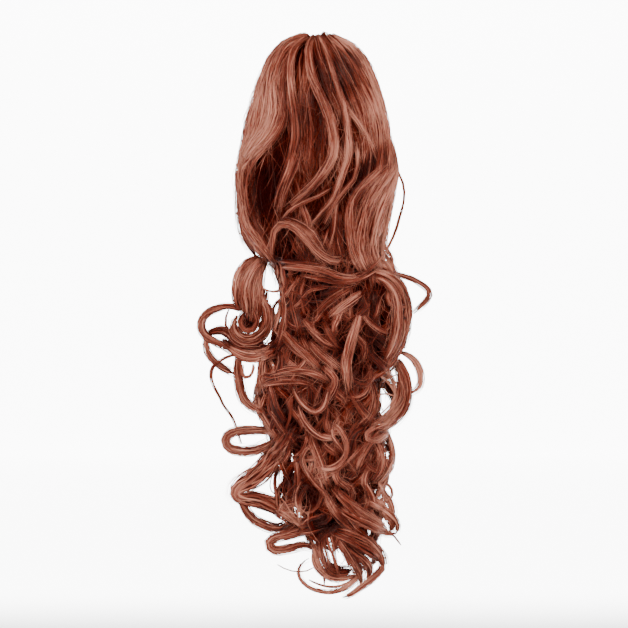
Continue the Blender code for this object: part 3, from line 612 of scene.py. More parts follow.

# %% [markdown]
# ## The crown's long locks
# The hair parts at a notch over the clip and sweeps down both sides. These are the locks that give the
# crown its pattern: a broad swoop on the left over a dark hollow, long S-shaped locks in the middle, a
# layered panel on the right, and the thick lock that comes out from under it. Each row is one lock.

# %% Crown table: (across, drop) stations, half widths, half depths, lift off the mass, tone
# Each tone is the lock's own colour with painted light and shade in it, higher in the light, lower in shade.
CROWN_LOCKS = {
    "edge_left": (
        ((-14, 3), (-34, 13), (-47, 34), (-57, 64), (-64.5, 90), (-69.5, 114), (-72.5, 136), (-73.5, 155),
         (-73, 172), (-71.5, 187), (-68, 200), (-61, 211), (-52, 221)),
        (3, 3.5, 4), (3, 5, 4), (-3, -2, 0), 0.45,
    ),
    "outer_left": (
        ((-12, 2), (-32, 11), (-45, 30), (-53, 60), (-61, 90), (-67, 112), (-71, 128), (-72, 145), (-70, 162),
         (-67, 178), (-60, 196), (-48, 211)),
        (4, 5, 4.5), (4, 5, 4), (-3, -1, 1), 0.5,
    ),
    "swoop_outer": (
        ((-12, 3), (-29, 12), (-41, 32), (-47, 55), (-50, 75), (-54, 92), (-61, 106), (-69, 120), (-71, 133)),
        (4, 7, 5), (3, 4, 4), (-1, 1, 0), 0.62,
    ),
    "swoop_inner": (
        ((-9, 3), (-24, 12), (-34, 30), (-38, 52), (-38, 72), (-42, 88), (-50, 102), (-60, 114), (-69, 127)),
        (4, 8, 5), (3, 5, 4), (-1, 3, 1), 0.72,
    ),
    "swoop_edge": (
        ((-8, 4), (-20, 14), (-29, 34), (-31, 55), (-30, 75), (-33, 90), (-42, 104), (-53, 114), (-64, 125)),
        (2.5, 4, 3), (3, 4, 3), (-1, 3, 0), 0.5,
    ),
    "hollow_strand": (
        ((-31, 92), (-40, 104), (-50, 115), (-60, 127), (-66, 142), (-66, 160), (-60, 182)),
        (0.8, 1.2, 0.8), (0.8, 1.2, 0.8), (-2, 2, 0), 0.5,
    ),
    "centre_left": (
        ((-7, 1), (-18, 11), (-24, 28), (-25, 45), (-23, 62), (-20, 80), (-19, 98), (-21, 112), (-25, 130),
         (-31, 146), (-36, 160), (-38, 175)),
        (3, 4.5, 4.5), (3, 5, 3), (-1, 2, 0), 0.55,
    ),
    "centre_left_twin": (
        ((-14, 98), (-15, 115), (-20, 130), (-26, 145), (-31, 160), (-34, 177)),
        (2, 3.5, 2.5), (2, 3.5, 2.5), (-4, 1, 0), 0.46,
    ),
    "middle_fall": (
        ((-2, 30), (-6, 60), (-4, 90), (-5, 120), (-12, 148)),
        (4, 5, 4), (3, 4, 3), (-5, -4, -3), 0.3,
    ),
    "middle_fall_right": (
        ((3, 50), (8, 82), (7, 110), (1, 132), (-8, 150)),
        (3, 4.5, 3), (3, 4, 3), (-5, -4, -3), 0.3,
    ),
    "middle_fall_left": (
        ((-11, 40), (-13, 70), (-12, 98), (-14, 124), (-22, 148)),
        (3, 4.5, 3), (3, 4, 3), (-5, -4, -3), 0.34,
    ),
    "centre": (
        ((-2, 2), (-6, 13), (-6, 25), (-4, 37), (0, 50), (6, 64), (13, 80), (17, 94), (18.5, 108), (17, 121),
         (11, 132), (3, 143), (-8, 154), (-20, 164), (-29, 171)),
        (2, 4.5, 2.5), (2.5, 4.5, 2.5), (0, 5, 5), 0.7,
    ),
    "centre_under": (
        ((16, 150), (6, 157), (-6, 162), (-18, 167), (-27, 175), (-33, 183)),
        (1.5, 2, 1.5), (1.5, 2, 1.5), (3, 5, 5), 0.62,
    ),
    "centre_right": (
        ((4, 1), (11, 19), (18, 42), (24, 60), (29, 74), (31, 90), (32.5, 106), (32, 120), (28, 133),
         (23, 147), (18, 160), (9, 171), (-1, 182), (-10, 190)),
        (2, 3.5, 2), (2.5, 4, 2), (0, 5, 5), 0.66,
    ),
    "bright_strand": (
        ((22, 58), (30, 71), (39, 83), (47, 95), (54, 107), (59, 119), (61, 130)),
        (1.5, 2, 2), (1.5, 2, 1.5), (0, 4, 0), 0.75,
    ),
    "right_strand": (
        ((39, 106), (41, 122), (39, 138), (33, 147), (25, 156), (18, 166), (13, 176), (8, 186), (2, 192)),
        (1.5, 1.8, 1.5), (1.5, 1.8, 1.5), (3, 5, 5), 0.7,
    ),
    "thin_fall": (
        ((21, 158), (20, 172), (19, 185), (17, 197), (12, 212)),
        (1.5, 1.6, 1.5), (1.5, 1.6, 1.5), (2, 4, 2), 0.62,
    ),
    "thin_fall_left": (
        ((14, 186), (10, 200), (5, 212)),
        (1.2, 1.3, 1), (1.2, 1.3, 1), (2, 4, 2), 0.6,
    ),
    "top_middle": (
        ((1, 2), (3, 18), (9, 38), (16, 58), (24, 76), (27, 92)),
        (3, 4, 2), (3, 4, 2), (-1, 0, -2), 0.45,
    ),
    "panel_inner": (
        ((8, 0.5), (18, 19), (28, 42), (38, 64), (46, 84), (50, 104), (50, 123), (47, 140), (42, 154)),
        (4, 6, 5), (3, 4, 3), (-1, 1, -5), 0.42,
    ),
    "panel_middle": (
        ((13, 3), (26, 19), (40, 42), (52, 66), (58, 86), (61, 104), (61, 124), (57, 142), (51, 156)),
        (4, 6.5, 5), (3, 4, 3), (-1, 2, -5), 0.6,
    ),
    "panel_outer": (
        ((17, 3), (33, 14), (47, 35), (58, 59), (64.5, 83), (67.5, 103), (69, 120), (67, 136), (62, 152)),
        (4, 6, 5), (3, 4, 3), (-1, 2, -5), 0.65,
    ),
    "edge_right": (
        ((20, 3), (38, 13), (50.5, 32), (59, 54), (64, 77), (68, 99), (72.5, 120), (72.5, 138), (69, 154)),
        (3, 4.5, 4), (3, 5, 4), (-2, 0, -3), 0.55,
    ),
    "fall_upper": (
        ((74, 104), (75, 117), (69, 127), (59, 136), (49, 145), (41, 154), (35, 166), (33, 182), (34, 200),
         (38, 216), (46, 230), (55, 240)),
        (3, 5, 5), (2, 5, 4), (-16, 4, 2), 0.62,
    ),
    "fall_middle": (
        ((74, 106), (76, 121), (71, 134), (62, 147), (53, 161), (47, 178), (44, 196), (45, 212), (52, 228),
         (62, 238)),
        (3, 7, 6), (3, 6, 4), (-16, 5, 2), 0.66,
    ),
    "fall_outer": (
        ((74, 108), (76.5, 126), (74, 142), (67, 158), (60, 174), (56, 190), (54, 206), (57, 222), (66, 234)),
        (3, 7, 6), (3, 6, 4), (-16, 4, 1), 0.7,
    ),
    "fall_edge": (
        ((73, 108), (76, 126), (75.5, 144), (72, 161), (68.5, 178), (66, 194), (65, 208), (68, 224)),
        (2, 4.5, 4.5), (3, 6, 5), (-14, 1, 1), 0.6,
    ),
    "stray_loop": (
        ((75, 122), (84, 140), (86.5, 152), (86, 165), (82, 180), (77, 195), (70, 209), (63, 219), (55, 227),
         (46, 234), (35, 238), (20, 238)),
        (1.2, 1.3, 1.2), (1.2, 1.3, 1.2), (2, 12, 6), 0.42,
    ),
    "left_foot": (
        ((-70, 162), (-67, 182), (-59, 196), (-50, 207), (-42, 218), (-36, 232)),
        (3, 5.5, 6), (3, 5, 4), (0, 2, 2), 0.58,
    ),
    "left_foot_inner": (
        ((-60, 170), (-57, 184), (-50, 196), (-44, 206)),
        (1.5, 2.5, 2), (1.5, 2.5, 2), (-3, -2, 0), 0.5,
    ),
    "ring": (
        ((-42, 215), (-41, 203), (-39, 193), (-34, 186), (-26, 185), (-17, 191), (-8, 201), (1, 211),
         (10, 218), (20, 222), (29, 219)),
        (2, 3, 4.5), (2.5, 4, 3.5), (2, 8, 4), 0.7,
    ),
    "ring_under": (
        ((-32, 179), (-16, 185), (-5, 192), (3, 203), (10, 213)),
        (2, 4, 3), (2, 4, 3), (1, 4, 2), 0.5,
    ),
    "neck_outer": (
        ((-56, 192), (-48, 206), (-41, 218), (-35, 232), (-31, 248)),
        (4, 5.5, 5), (3, 5, 4), (0, 1, 1), 0.34,
    ),
    "neck_left": (
        ((-16, 192), (-10, 206), (-4, 220), (2, 232)),
        (3, 4, 3), (3, 4, 3), (-3, -1, 0), 0.36,
    ),
    "neck_middle": (
        ((24, 168), (22, 190), (24, 208), (30, 223)),
        (2, 4, 3), (2, 4, 3), (-3, 0, 1), 0.44,
    ),
    "neck_hook": (
        ((6, 192), (14, 206), (20, 220)),
        (2, 3, 2), (2, 3, 2), (-1, 2, 1), 0.5,
    ),
}
print("crown locks:", len(CROWN_LOCKS))

# %% [markdown]
# ## Ringlets on the seen side
# Below the crown the hair has been set on rollers. Where a ringlet lies on the mass only its front half
# shows, as a U, an S or a ring. Where one stands off the mass, the white behind it shows through the loop.
# The tables follow the solid model's five groups, so each group can stand in for its own solid.

# %% Middle table
# As on the crown, each tone holds painted light and shade as well as the lock's own colour.
MIDDLE_LOCKS = {
    "crossing_upper": (
        ((-32, 226), (-12, 227), (8, 231), (28, 237), (44, 236), (56, 229)),
        (2, 3.5, 2.5), (3, 4, 3), (1, 5, 4), 0.65,
    ),
    "crossing_lower": (
        ((-14, 234), (4, 238), (22, 241), (40, 239), (54, 233), (64, 226)),
        (1.5, 2.5, 2), (2, 3, 2), (1, 5, 4), 0.6,
    ),
    "crossing_top": (
        ((-34, 220), (-18, 222), (0, 224), (14, 228)),
        (1.5, 2.5, 1.5), (2, 3, 2), (0, 3, 1), 0.5,
    ),
    "thin_bow": (
        ((-9, 236), (-13, 250), (-12, 264), (-8, 276)),
        (1.2, 1.3, 1.2), (1.2, 1.3, 1.2), (1, 4, 1), 0.6,
    ),
    "slant": (
        ((46, 250), (34, 259), (24, 266), (12, 275)),
        (2, 4, 2), (2, 4, 2), (1, 4, 1), 0.72,
    ),
    "slant_upper": (
        ((36, 246), (22, 254), (8, 264), (-2, 276)),
        (2, 3.5, 2), (2, 3.5, 2), (0, 3, 0), 0.55,
    ),
    "centre_column": (
        ((44, 266), (41, 280), (37, 292), (33, 306), (30, 320), (31, 334), (33, 351)),
        (3, 4.5, 2.5), (3, 5, 3), (1, 7, 4), 0.76,
    ),
    "diagonal": (
        ((45, 270), (52, 279), (61, 286), (71, 291)),
        (1.5, 2.5, 1.5), (2, 3, 2), (2, 4, 1), 0.7,
    ),
    "belly_right": (
        ((-6, 298), (6, 311), (18, 320), (27, 327)),
        (2, 4, 2), (2, 4, 2), (0, 4, 1), 0.6,
    ),
    "belly_left": (
        ((-32, 288), (-20, 302), (-6, 313), (6, 327)),
        (3, 5, 3), (3, 5, 3), (0, 4, 2), 0.6,
    ),
    "belly_upper": (
        ((-12, 276), (0, 290), (12, 300), (25, 305)),
        (2, 4, 2), (2, 4, 2), (-1, 2, 0), 0.5,
    ),
    "belly_inner": (
        ((8, 278), (15, 294), (27, 308)),
        (2, 3, 2), (2, 3, 2), (-1, 2, 0), 0.44,
    ),
    "column_left": (
        ((-26, 236), (-28, 255), (-27, 275), (-31, 294), (-38, 310)),
        (4, 5, 4), (4, 5, 4), (0, 0, 0), 0.42,
    ),
    "column_inner": (
        ((-17, 240), (-20, 260), (-16, 280), (-11, 299)),
        (4, 5, 4), (4, 5, 4), (-2, -1, 0), 0.36,
    ),
    "dark_right": (
        ((60, 244), (56, 258), (58, 274), (54, 292), (48, 310)),
        (3, 5, 4), (3, 4, 3), (-5, -5, -4), 0.24,
    ),
    "dark_middle": (
        ((10, 240), (14, 252), (26, 262), (36, 276)),
        (3, 5, 4), (3, 4, 3), (-4, -3, -3), 0.26,
    ),
    "side_loop": (
        ((-26, 282), (-38, 284), (-41, 270), (-38, 261), (-32, 257), (-24, 258)),
        (1.2, 1.4, 1.2), (1.2, 1.4, 1.2), (-1, 3, -2), 0.45,
    ),
}

# %% Lower table
LOWER_LOCKS = {
    "upper_lid": (
        ((-46, 333), (-26, 326), (-8, 327), (4, 331), (15, 338)),
        (2.5, 4, 2), (3, 4, 3), (1, 6, 3), 0.6,
    ),
    "under_lid": (
        ((-50, 341), (-34, 337), (-16, 337), (0, 341)),
        (2, 3.5, 2), (2, 3.5, 2), (1, 4, 2), 0.55,
    ),
    "u_curl": (
        ((-22, 343), (-15, 355), (-7, 363), (1, 366), (8, 361), (12, 350), (15, 336)),
        (2, 3, 2), (2, 4, 2), (2, 8, 4), 0.7,
    ),
    "under_curl": (
        ((-17, 358), (-12, 372), (-3, 384), (8, 391), (21, 392)),
        (1.8, 2.6, 1.8), (2, 4, 2), (1, 6, 3), 0.6,
    ),
    "ring_curl": (
        ((18, 377), (27, 387), (31, 399), (29, 410), (21, 419), (10, 422), (2, 417)),
        (1.8, 2.6, 1.8), (2, 4, 2), (1, 7, 3), 0.66,
    ),
    "ring_outer": (
        ((47, 397), (38, 407), (29, 416), (19, 424), (9, 427)),
        (1.5, 1.8, 1.5), (1.5, 2.5, 1.5), (1, 5, 2), 0.6,
    ),
    "inner_fall": (
        ((30, 336), (36, 352), (44, 366), (55, 377)),
        (3, 5, 4), (3, 4, 3), (-3, 0, 1), 0.36,
    ),
    "right_bow": (
        ((48, 328), (54, 344), (56, 360), (50, 374), (40, 383)),
        (3, 5, 3), (3, 4, 3), (-2, 1, 1), 0.46,
    ),
    "right_slant": (
        ((61, 386), (52, 398), (44, 411), (37, 425)),
        (3, 5, 3), (3, 4, 3), (1, 4, 2), 0.56,
    ),
    "hook_left": (
        ((-46, 364), (-39, 371), (-33, 382), (-25, 393)),
        (2, 2.8, 2), (2, 3, 2), (2, 5, 2), 0.62,
    ),
    "thin_drop": (
        ((-23, 347), (-23, 362), (-25, 376), (-31, 389)),
        (1.3, 1.4, 1.3), (1.3, 1.4, 1.3), (2, 5, 2), 0.6,
    ),
    "left_edge": (
        ((-50, 328), (-55, 344), (-54, 360), (-47, 374), (-39, 386), (-30, 397)),
        (3, 5, 4), (4, 5, 4), (0, 2, 2), 0.45,
    ),
    "left_upper": (
        ((-38, 298), (-47, 314), (-50, 332), (-48, 350)),
        (4, 6, 5), (3, 5, 4), (-3, -2, -2), 0.4,
    ),
    "left_inner": (
        ((-38, 338), (-42, 356), (-36, 373), (-25, 388), (-14, 402)),
        (3, 5, 4), (3, 5, 4), (-2, 0, 0), 0.36,
    ),
    "centre_fall": (
        ((-10, 372), (-4, 390), (2, 408), (8, 426), (14, 444)),
        (3, 5, 4), (3, 5, 4), (-2, 0, 0), 0.42,
    ),
    "left_loop": (
        ((-34, 388), (-48, 386), (-62, 385), (-76, 386), (-85, 390), (-87, 396), (-83, 402), (-72, 405),
         (-58, 404), (-46, 399), (-34, 392)),
        (3, 4.5, 4.5), (3, 5, 4), (0, 8, 5), 0.62,
    ),
    "left_sweep": (
        ((-20, 380), (-30, 396), (-40, 411), (-50, 423), (-61, 432), (-71, 438), (-77, 444), (-77, 450),
         (-71, 453)),
        (7, 10, 7), (4, 6, 4), (0, 5, 6), 0.66,
    ),
    "left_return": (
        ((-79, 446), (-72, 451), (-56, 453), (-42, 458), (-30, 465), (-19, 475)),
        (5, 8.5, 8), (3, 5, 4), (6, 1, -1), 0.5,
    ),
    "left_hook": (
        ((-73, 450), (-69, 460), (-62, 470), (-53, 476), (-42, 480), (-32, 480), (-22, 472)),
        (3, 4.5, 4), (3, 5, 3), (2, -2, -2), 0.36,
    ),
    "gap_strand": (
        ((-7, 385), (-9, 396), (-14, 405), (-22, 411)),
        (1.3, 1.4, 1.3), (1.3, 1.4, 1.3), (1, 5, 4), 0.55,
    ),
    "gap_thread": (
        ((-42, 430), (-44, 439), (-41, 446), (-32, 452), (-25, 462), (-18, 470)),
        (0.6, 0.6, 0.6), (0.6, 0.6, 0.6), (8, 6, 4), 0.6,
    ),
    "gap_bow": (
        ((-10, 430), (-17, 442), (-18, 455), (-13, 465)),
        (1.4, 1.6, 1.4), (1.4, 1.6, 1.4), (0, 4, 1), 0.65,
    ),
    "right_edge": (
        ((70, 386), (75, 402), (74, 417), (68, 428), (58, 438)),
        (2.5, 3.5, 3), (4, 5, 4), (-1, 2, 1), 0.52,
    ),
    "right_fill": (
        ((54, 388), (62, 404), (62, 420), (52, 436)),
        (4, 6, 4), (4, 5, 4), (-2, 0, 0), 0.42,
    ),
    "small_loop": (
        ((62, 434), (71, 438), (75, 445), (73, 452), (65, 457)),
        (1.4, 1.4, 1.4), (1.4, 1.4, 1.4), (0, 6, 2), 0.55,
    ),
    "twisted": (
        ((60, 432), (66, 444), (66, 455), (61, 465)),
        (1.6, 2, 1.6), (1.6, 2.5, 1.6), (0, 3, 1), 0.62,
    ),
}

# %% Tip table
TIP_LOCKS = {
    "right_curl": (
        ((18, 440), (30, 453), (45, 466), (60, 476), (73, 485)),
        (3, 6, 3), (3, 5, 3), (1, 5, 3), 0.66,
    ),
    "right_curl_inner": (
        ((8, 444), (18, 461), (32, 476), (47, 487)),
        (3, 5, 3), (3, 4, 3), (-1, 2, 1), 0.5,
    ),
    "right_under": (
        ((20, 458), (35, 467), (50, 475), (63, 482), (72, 486), (80, 485)),
        (3, 4.5, 2.4), (2, 4, 2), (0, 6, 4), 0.62,
    ),
    "right_outer": (
        ((46, 451), (60, 459), (71, 466), (78, 473), (81, 480), (78, 487)),
        (2.4, 3.6, 2.4), (2, 4, 2), (0, 5, 3), 0.6,
    ),
    "right_web": (
        ((58, 452), (68, 464), (75, 476), (72, 486)),
        (3, 5, 3), (2, 3, 2), (0, 3, 2), 0.6,
    ),
    "right_web_inner": (
        ((62, 440), (71, 452), (76, 464), (74, 474)),
        (2, 3, 2), (2, 3, 2), (0, 2, 2), 0.55,
    ),
    "right_tail": (
        ((70, 482), (78, 489), (84, 497)),
        (1.4, 1.2, 0.7), (1.4, 1.2, 0.7), (3, 4, 4), 0.55,
    ),
    "left_hairpin": (
        ((14, 477), (-4, 482), (-20, 486), (-35, 489), (-43.5, 493), (-44, 498), (-37, 502), (-24, 500),
         (-10, 497), (6, 503)),
        (3.4, 4.4, 3), (3, 4, 3), (0, 6, 0), 0.7,
    ),
    "hairpin_under": (
        ((16, 468), (-2, 473), (-20, 479), (-34, 486)),
        (4, 6, 3.5), (3, 4, 3), (-3, 0, 3), 0.34,
    ),
    "sheet": (
        ((18, 483), (34, 488), (48, 495), (59, 504), (66, 513), (67, 521)),
        (4, 8, 3), (3, 5, 3), (0, 4, 2), 0.55,
    ),
    "sheet_shade": (
        ((14, 476), (25, 489), (36, 501), (48, 512)),
        (5, 8, 6), (2, 3, 2), (-3, -2, -2), 0.4,
    ),
    "foot_strand": (
        ((14, 482), (18, 498), (19, 512), (24, 524)),
        (1.6, 1.8, 1.6), (1.6, 1.8, 1.6), (0, 1, 1), 0.6,
    ),
    "foot_strand_left": (
        ((9, 480), (9, 496), (13, 510), (15, 524)),
        (1.6, 1.8, 1.6), (1.6, 1.8, 1.6), (0, 1, 1), 0.5,
    ),
    "foot_fill": (
        ((8, 512), (16, 519), (26, 523), (36, 521)),
        (2, 5, 4), (2, 3, 2), (-1, 0, 0), 0.34,
    ),
    "sheet_under": (
        ((24, 492), (37, 503), (48, 513), (53, 524), (50, 534)),
        (3, 5, 3), (3, 4, 2), (-1, 1, 1), 0.46,
    ),
    "last_hook": (
        ((66, 513), (65, 521), (56, 530), (46, 537), (36, 544), (27, 548.5)),
        (3.6, 3.4, 1.5), (3, 3, 1.2), (2, 4, 2), 0.7,
    ),
    "bottom_ring": (
        ((46, 519), (42, 528), (34, 536), (24, 541), (12, 543), (0, 541), (-9, 536), (-15, 529), (-16, 521),
         (-12, 514), (-6, 510)),
        (2.6, 2.1, 1.3), (2.5, 2.5, 1.3), (0, 3, 0), 0.6,
    ),
    "bottom_threads": (
        ((44, 524), (34, 532), (20, 537), (6, 536), (-6, 531)),
        (1.2, 1.2, 0.8), (1.5, 1.5, 1), (0, 2, 0), 0.62,
    ),
    "stray_end": (
        ((-1, 519), (-10, 523), (-20, 523), (-30, 520), (-37, 516)),
        (0.8, 0.7, 0.5), (0.8, 0.7, 0.5), (1, 3, 3), 0.55,
    ),
    "foot": (
        ((4, 478), (5, 492), (6, 505), (11, 519), (20, 528)),
        (2.5, 2.4, 2), (2, 2.4, 2), (-1, 0, 0), 0.4,
    ),
    "foot_bow": (
        ((0, 498), (0, 511), (5, 521), (16, 528), (28, 529), (40, 526)),
        (2, 4.5, 4), (2, 4, 3), (0, 2, 1), 0.55,
    ),
    "foot_right": (
        ((22, 488), (31, 503), (39, 516), (44, 529), (45, 538)),
        (3, 5, 2.6), (3, 4, 2), (0, 3, 1), 0.6,
    ),
    "foot_thread": (
        ((11, 484), (13, 496), (18, 508), (22, 521), (25, 532)),
        (1.3, 1.4, 1), (1.3, 1.4, 1), (2, 5, 3), 0.7,
    ),
}

# %% Left and right tables: the ringlets that stand off the mass
LEFT_LOCKS = {
    "spiral_outer": (
        ((-53, 217), (-64, 222), (-72, 233), (-74.5, 247), (-74, 260), (-68, 271)),
        (3, 6, 4), (4, 6, 4), (10, 15, 11), 0.5,
    ),
    "spiral_inner": (
        ((-50, 217), (-59, 225), (-66, 237), (-69, 250), (-67, 264), (-66, 277)),
        (3, 5, 3), (3, 5, 3), (12, 19, 14), 0.66,
    ),
    "spiral_column": (
        ((-47, 217), (-53, 229), (-56, 243), (-57, 258), (-57, 272), (-60, 287)),
        (3, 6, 5), (3, 6, 5), (8, 8, 12), 0.55,
    ),
    "spiral_foot": (
        ((-52, 256), (-46, 270), (-47, 284), (-54, 293), (-65, 297), (-75, 292), (-79, 283), (-76, 273)),
        (4, 5.5, 5), (4, 5, 4), (8, 15, 12), 0.66,
    ),
    "spiral_shade": (
        ((-50, 246), (-57, 262), (-64, 278), (-77, 290)),
        (5, 10, 7), (2, 3, 2), (4, 5, 4), 0.25,
    ),
    "spiral_shade_low": (
        ((-44, 262), (-46, 278), (-52, 290), (-62, 299)),
        (4, 6, 5), (2, 3, 2), (4, 5, 4), 0.25,
    ),
    "spiral_middle": (
        ((-49, 218), (-57, 230), (-62, 244), (-63, 258), (-63, 272)),
        (3, 5, 4), (3, 4, 3), (9, 12, 12), 0.48,
    ),
    "spiral_eye": (
        ((-61, 266), (-56, 279), (-62, 288), (-70, 286), (-73, 278), (-68, 270)),
        (2, 2.6, 2), (2, 2.6, 2), (12, 17, 15), 0.6,
    ),
    "outer_loop": (
        ((-71, 267), (-84, 264), (-95, 266), (-105, 271), (-110, 278), (-110.5, 286), (-106, 293), (-98, 298),
         (-88, 303), (-78, 309), (-70, 314)),
        (3, 3.6, 3.4), (3, 5, 4), (12, 6, 10), 0.45,
    ),
    "loop_shadow": (
        ((-104, 290), (-92, 287), (-84, 290), (-78, 296), (-70, 301), (-58, 303), (-46, 303)),
        (3, 5, 5), (2.4, 4, 4), (6, 10, 11), 0.2,
    ),
    "loop_rung": (
        ((-84, 267), (-87, 278), (-85, 287), (-78, 295)),
        (1.3, 1.4, 1.3), (1.3, 1.4, 1.3), (8, 10, 10), 0.5,
    ),
    "hanging_hook": (
        ((-106, 293), (-106, 304), (-102, 313), (-95, 320), (-87, 326), (-76, 331)),
        (2.8, 3.2, 2.8), (2.4, 3.2, 2.4), (7, 6, 8), 0.6,
    ),
    "loop_under": (
        ((-90, 296), (-80, 305), (-68, 308), (-54, 307), (-42, 302)),
        (2, 4, 4), (2, 3, 3), (2, 6, 6), 0.3,
    ),
    "sheet": (
        ((-83, 305), (-72, 311), (-60, 313), (-48, 311), (-39, 305)),
        (3, 6, 5), (3, 4, 3), (9, 12, 11), 0.76,
    ),
    "lower_bend": (
        ((-75, 313), (-75, 330), (-73, 345), (-69, 355), (-61, 362), (-51, 367)),
        (3.5, 4.4, 4), (3.5, 4, 3.5), (9, 8, 12), 0.55,
    ),
    "small_hook": (
        ((-60, 320), (-61, 329), (-67, 334), (-71, 329), (-70, 321)),
        (1.4, 1.4, 1.2), (1.4, 1.4, 1.2), (11, 12, 11), 0.72,
    ),
    "long_stray": (
        ((-74, 310), (-85, 313), (-94, 318), (-100, 324), (-101, 333), (-98, 342), (-93, 351), (-89, 361),
         (-82, 370), (-78, 379), (-75, 388), (-72, 398)),
        (1.4, 1.3, 1), (1.4, 1.3, 1), (11, 8, 6), 0.42,
    ),
    "gap_thread": (
        ((-54, 245), (-46, 249), (-38, 250), (-31, 246)),
        (1.3, 1.3, 1.3), (1.3, 1.3, 1.3), (10, 12, 14), 0.6,
    ),
}
RIGHT_LOCKS = {
    "band": (
        ((52, 231), (64, 233), (76, 240), (84, 252), (88, 266), (87, 282), (83, 298), (75, 314), (66, 327)),
        (3, 6, 4), (4, 6, 5), (3, 5, 5), 0.6,
    ),
    "band_inner": (
        ((56, 236), (66, 239), (74, 247), (79, 258), (80, 272), (79, 288), (74, 304), (66, 319)),
        (2, 4.5, 3), (2, 5, 3), (3, 8, 7), 0.72,
    ),
    "band_edge": (
        ((62, 230), (76, 234), (86, 246), (90.5, 262), (91, 278), (88, 294), (83, 308)),
        (2, 3, 3), (3, 5, 4), (1, 1, 2), 0.46,
    ),
    "outer_loop": (
        ((76, 232), (88, 235), (98, 239), (106, 244), (111, 249), (111.5, 254), (107, 260), (100, 267),
         (92, 274)),
        (2, 2.2, 1.8), (2, 2.4, 2), (5, 6, 4), 0.5,
    ),
    "small_loop": (
        ((84, 309), (94, 314), (99.5, 321), (103, 330), (103, 338), (100, 345), (91, 349)),
        (2.2, 3.2, 2.4), (2, 3, 2), (6, 8, 8), 0.95,
    ),
    "big_curl": (
        ((80, 316), (87, 331), (89.5, 345), (88, 357), (83, 367), (75, 375), (65, 381), (53, 384)),
        (3, 6, 5), (4, 6, 5), (5, 8, 7), 0.66,
    ),
    "big_curl_inner": (
        ((77, 314), (83, 329), (84, 344), (81, 357), (75, 367), (66, 374), (54, 378)),
        (2.5, 4.5, 4), (3, 5, 4), (3, 4, 4), 0.5,
    ),
    "right_edge_fill": (
        ((66, 322), (73, 331), (78, 343), (78, 356), (72, 368)),
        (1.6, 2.2, 1.6), (1.5, 2, 1.5), (-2, 2, 0), 0.7,
    ),
    "gap_hair": (
        ((60, 328), (69, 336), (77, 347), (82, 360)),
        (1, 1, 0.8), (1, 1, 0.8), (2, 6, 6), 0.85,
    ),
    "gap_hair_low": (
        ((58, 352), (68, 349), (78, 352), (84, 358)),
        (0.9, 0.9, 0.8), (0.9, 0.9, 0.8), (2, 6, 6), 0.8,
    ),
    "gap_hair_high": (
        ((62, 340), (72, 334), (82, 330)),
        (0.8, 0.8, 0.6), (0.8, 0.8, 0.6), (2, 6, 6), 0.8,
    ),
    "curl_rim": (
        ((60, 381), (52, 386), (50, 391), (56, 394), (64, 392), (72, 386)),
        (1.8, 2.4, 1.8), (1.5, 2.4, 1.5), (5, 8, 6), 0.72,
    ),
    "inner_thread": (
        ((78, 336), (79, 348), (76, 357), (70, 364), (64, 369)),
        (0.9, 0.9, 0.9), (0.9, 0.9, 0.9), (8, 9, 8), 0.66,
    ),
}
for title, table in (("left", LEFT_LOCKS), ("right", RIGHT_LOCKS)):
    print("ringlets on the", title, len(table))

# %% [markdown]
# ## The finish: hair
# False hair is smooth fibre with a soft shine. Its colour lives in three places: a tone, which differs for
# each bundle and also carries painted light and shade, fine streaks along it, and the shine, which looks
# pale because it is the light's own colour.
# Shader maths gets long when it is wired node by node, so a small class lets it be written as sums.


# %% A socket that does arithmetic
class Value:
    """A number worked out in a shader. Adding or multiplying it adds the Math node."""

    def __init__(self, finish, socket):
        self.finish = finish
        self.socket = socket

    def _math(self, operation, a, b):
        return self.finish.node("ShaderNodeMath", {"operation": operation}, {0: a, 1: b})

    def __add__(self, other):
        return self._math("ADD", self, other)

    def __radd__(self, other):
        return self._math("ADD", other, self)

    def __sub__(self, other):
        return self._math("SUBTRACT", self, other)

    def __rsub__(self, other):
        return self._math("SUBTRACT", other, self)

    def __mul__(self, other):
        return self._math("MULTIPLY", self, other)

    def __rmul__(self, other):
        return self._math("MULTIPLY", other, self)


class Finish:
    """A material under construction."""

    def __init__(self, name):
        self.material = bpy.data.materials.new(name)
        self.material.use_nodes = True
        self.tree = self.material.node_tree
        self.shader = self.tree.nodes["Principled BSDF"]

    def node(self, kind, settings=None, inputs=None, output=0):
        """Add a node: its settings first, then the values or links of its sockets."""
        made = self.tree.nodes.new(kind)
        for key, value in (settings or {}).items():
            if key == "stops":
                self._set_stops(made.color_ramp, value)
            else:
                setattr(made, key, value)
        for key, value in (inputs or {}).items():
            self.feed(made.inputs[key], value)
        return Value(self, made.outputs[output])

    def _set_stops(self, ramp, stops):
        while len(ramp.elements) < len(stops):
            ramp.elements.new(0.5)
        for element, (place, colour) in zip(ramp.elements, stops):
            element.position = place
            element.color = (*colour, 1)

    def feed(self, socket, value):
        """Link a worked-out value to a socket, or set a plain one on it."""
        if isinstance(value, Value):
            self.tree.links.new(value.socket, socket)
        else:
            socket.default_value = value

    def part_of(self, vector, which):
        """One of the three numbers of a vector."""
        return self.node("ShaderNodeSeparateXYZ", {}, {0: vector}, output=which)

    def ease(self, value, low, high):
        """A smooth rise from 0 at one value to 1 at another, or a fall when they are the other way round."""
        smooth = {"interpolation_type": "SMOOTHSTEP"}
        return self.node("ShaderNodeMapRange", smooth, {0: value, 1: low, 2: high})

    def set(self, **inputs):
        """Feed the shader's sockets by name."""
        for name, value in inputs.items():
            self.feed(self.shader.inputs[name.replace("_", " ").title()], value)


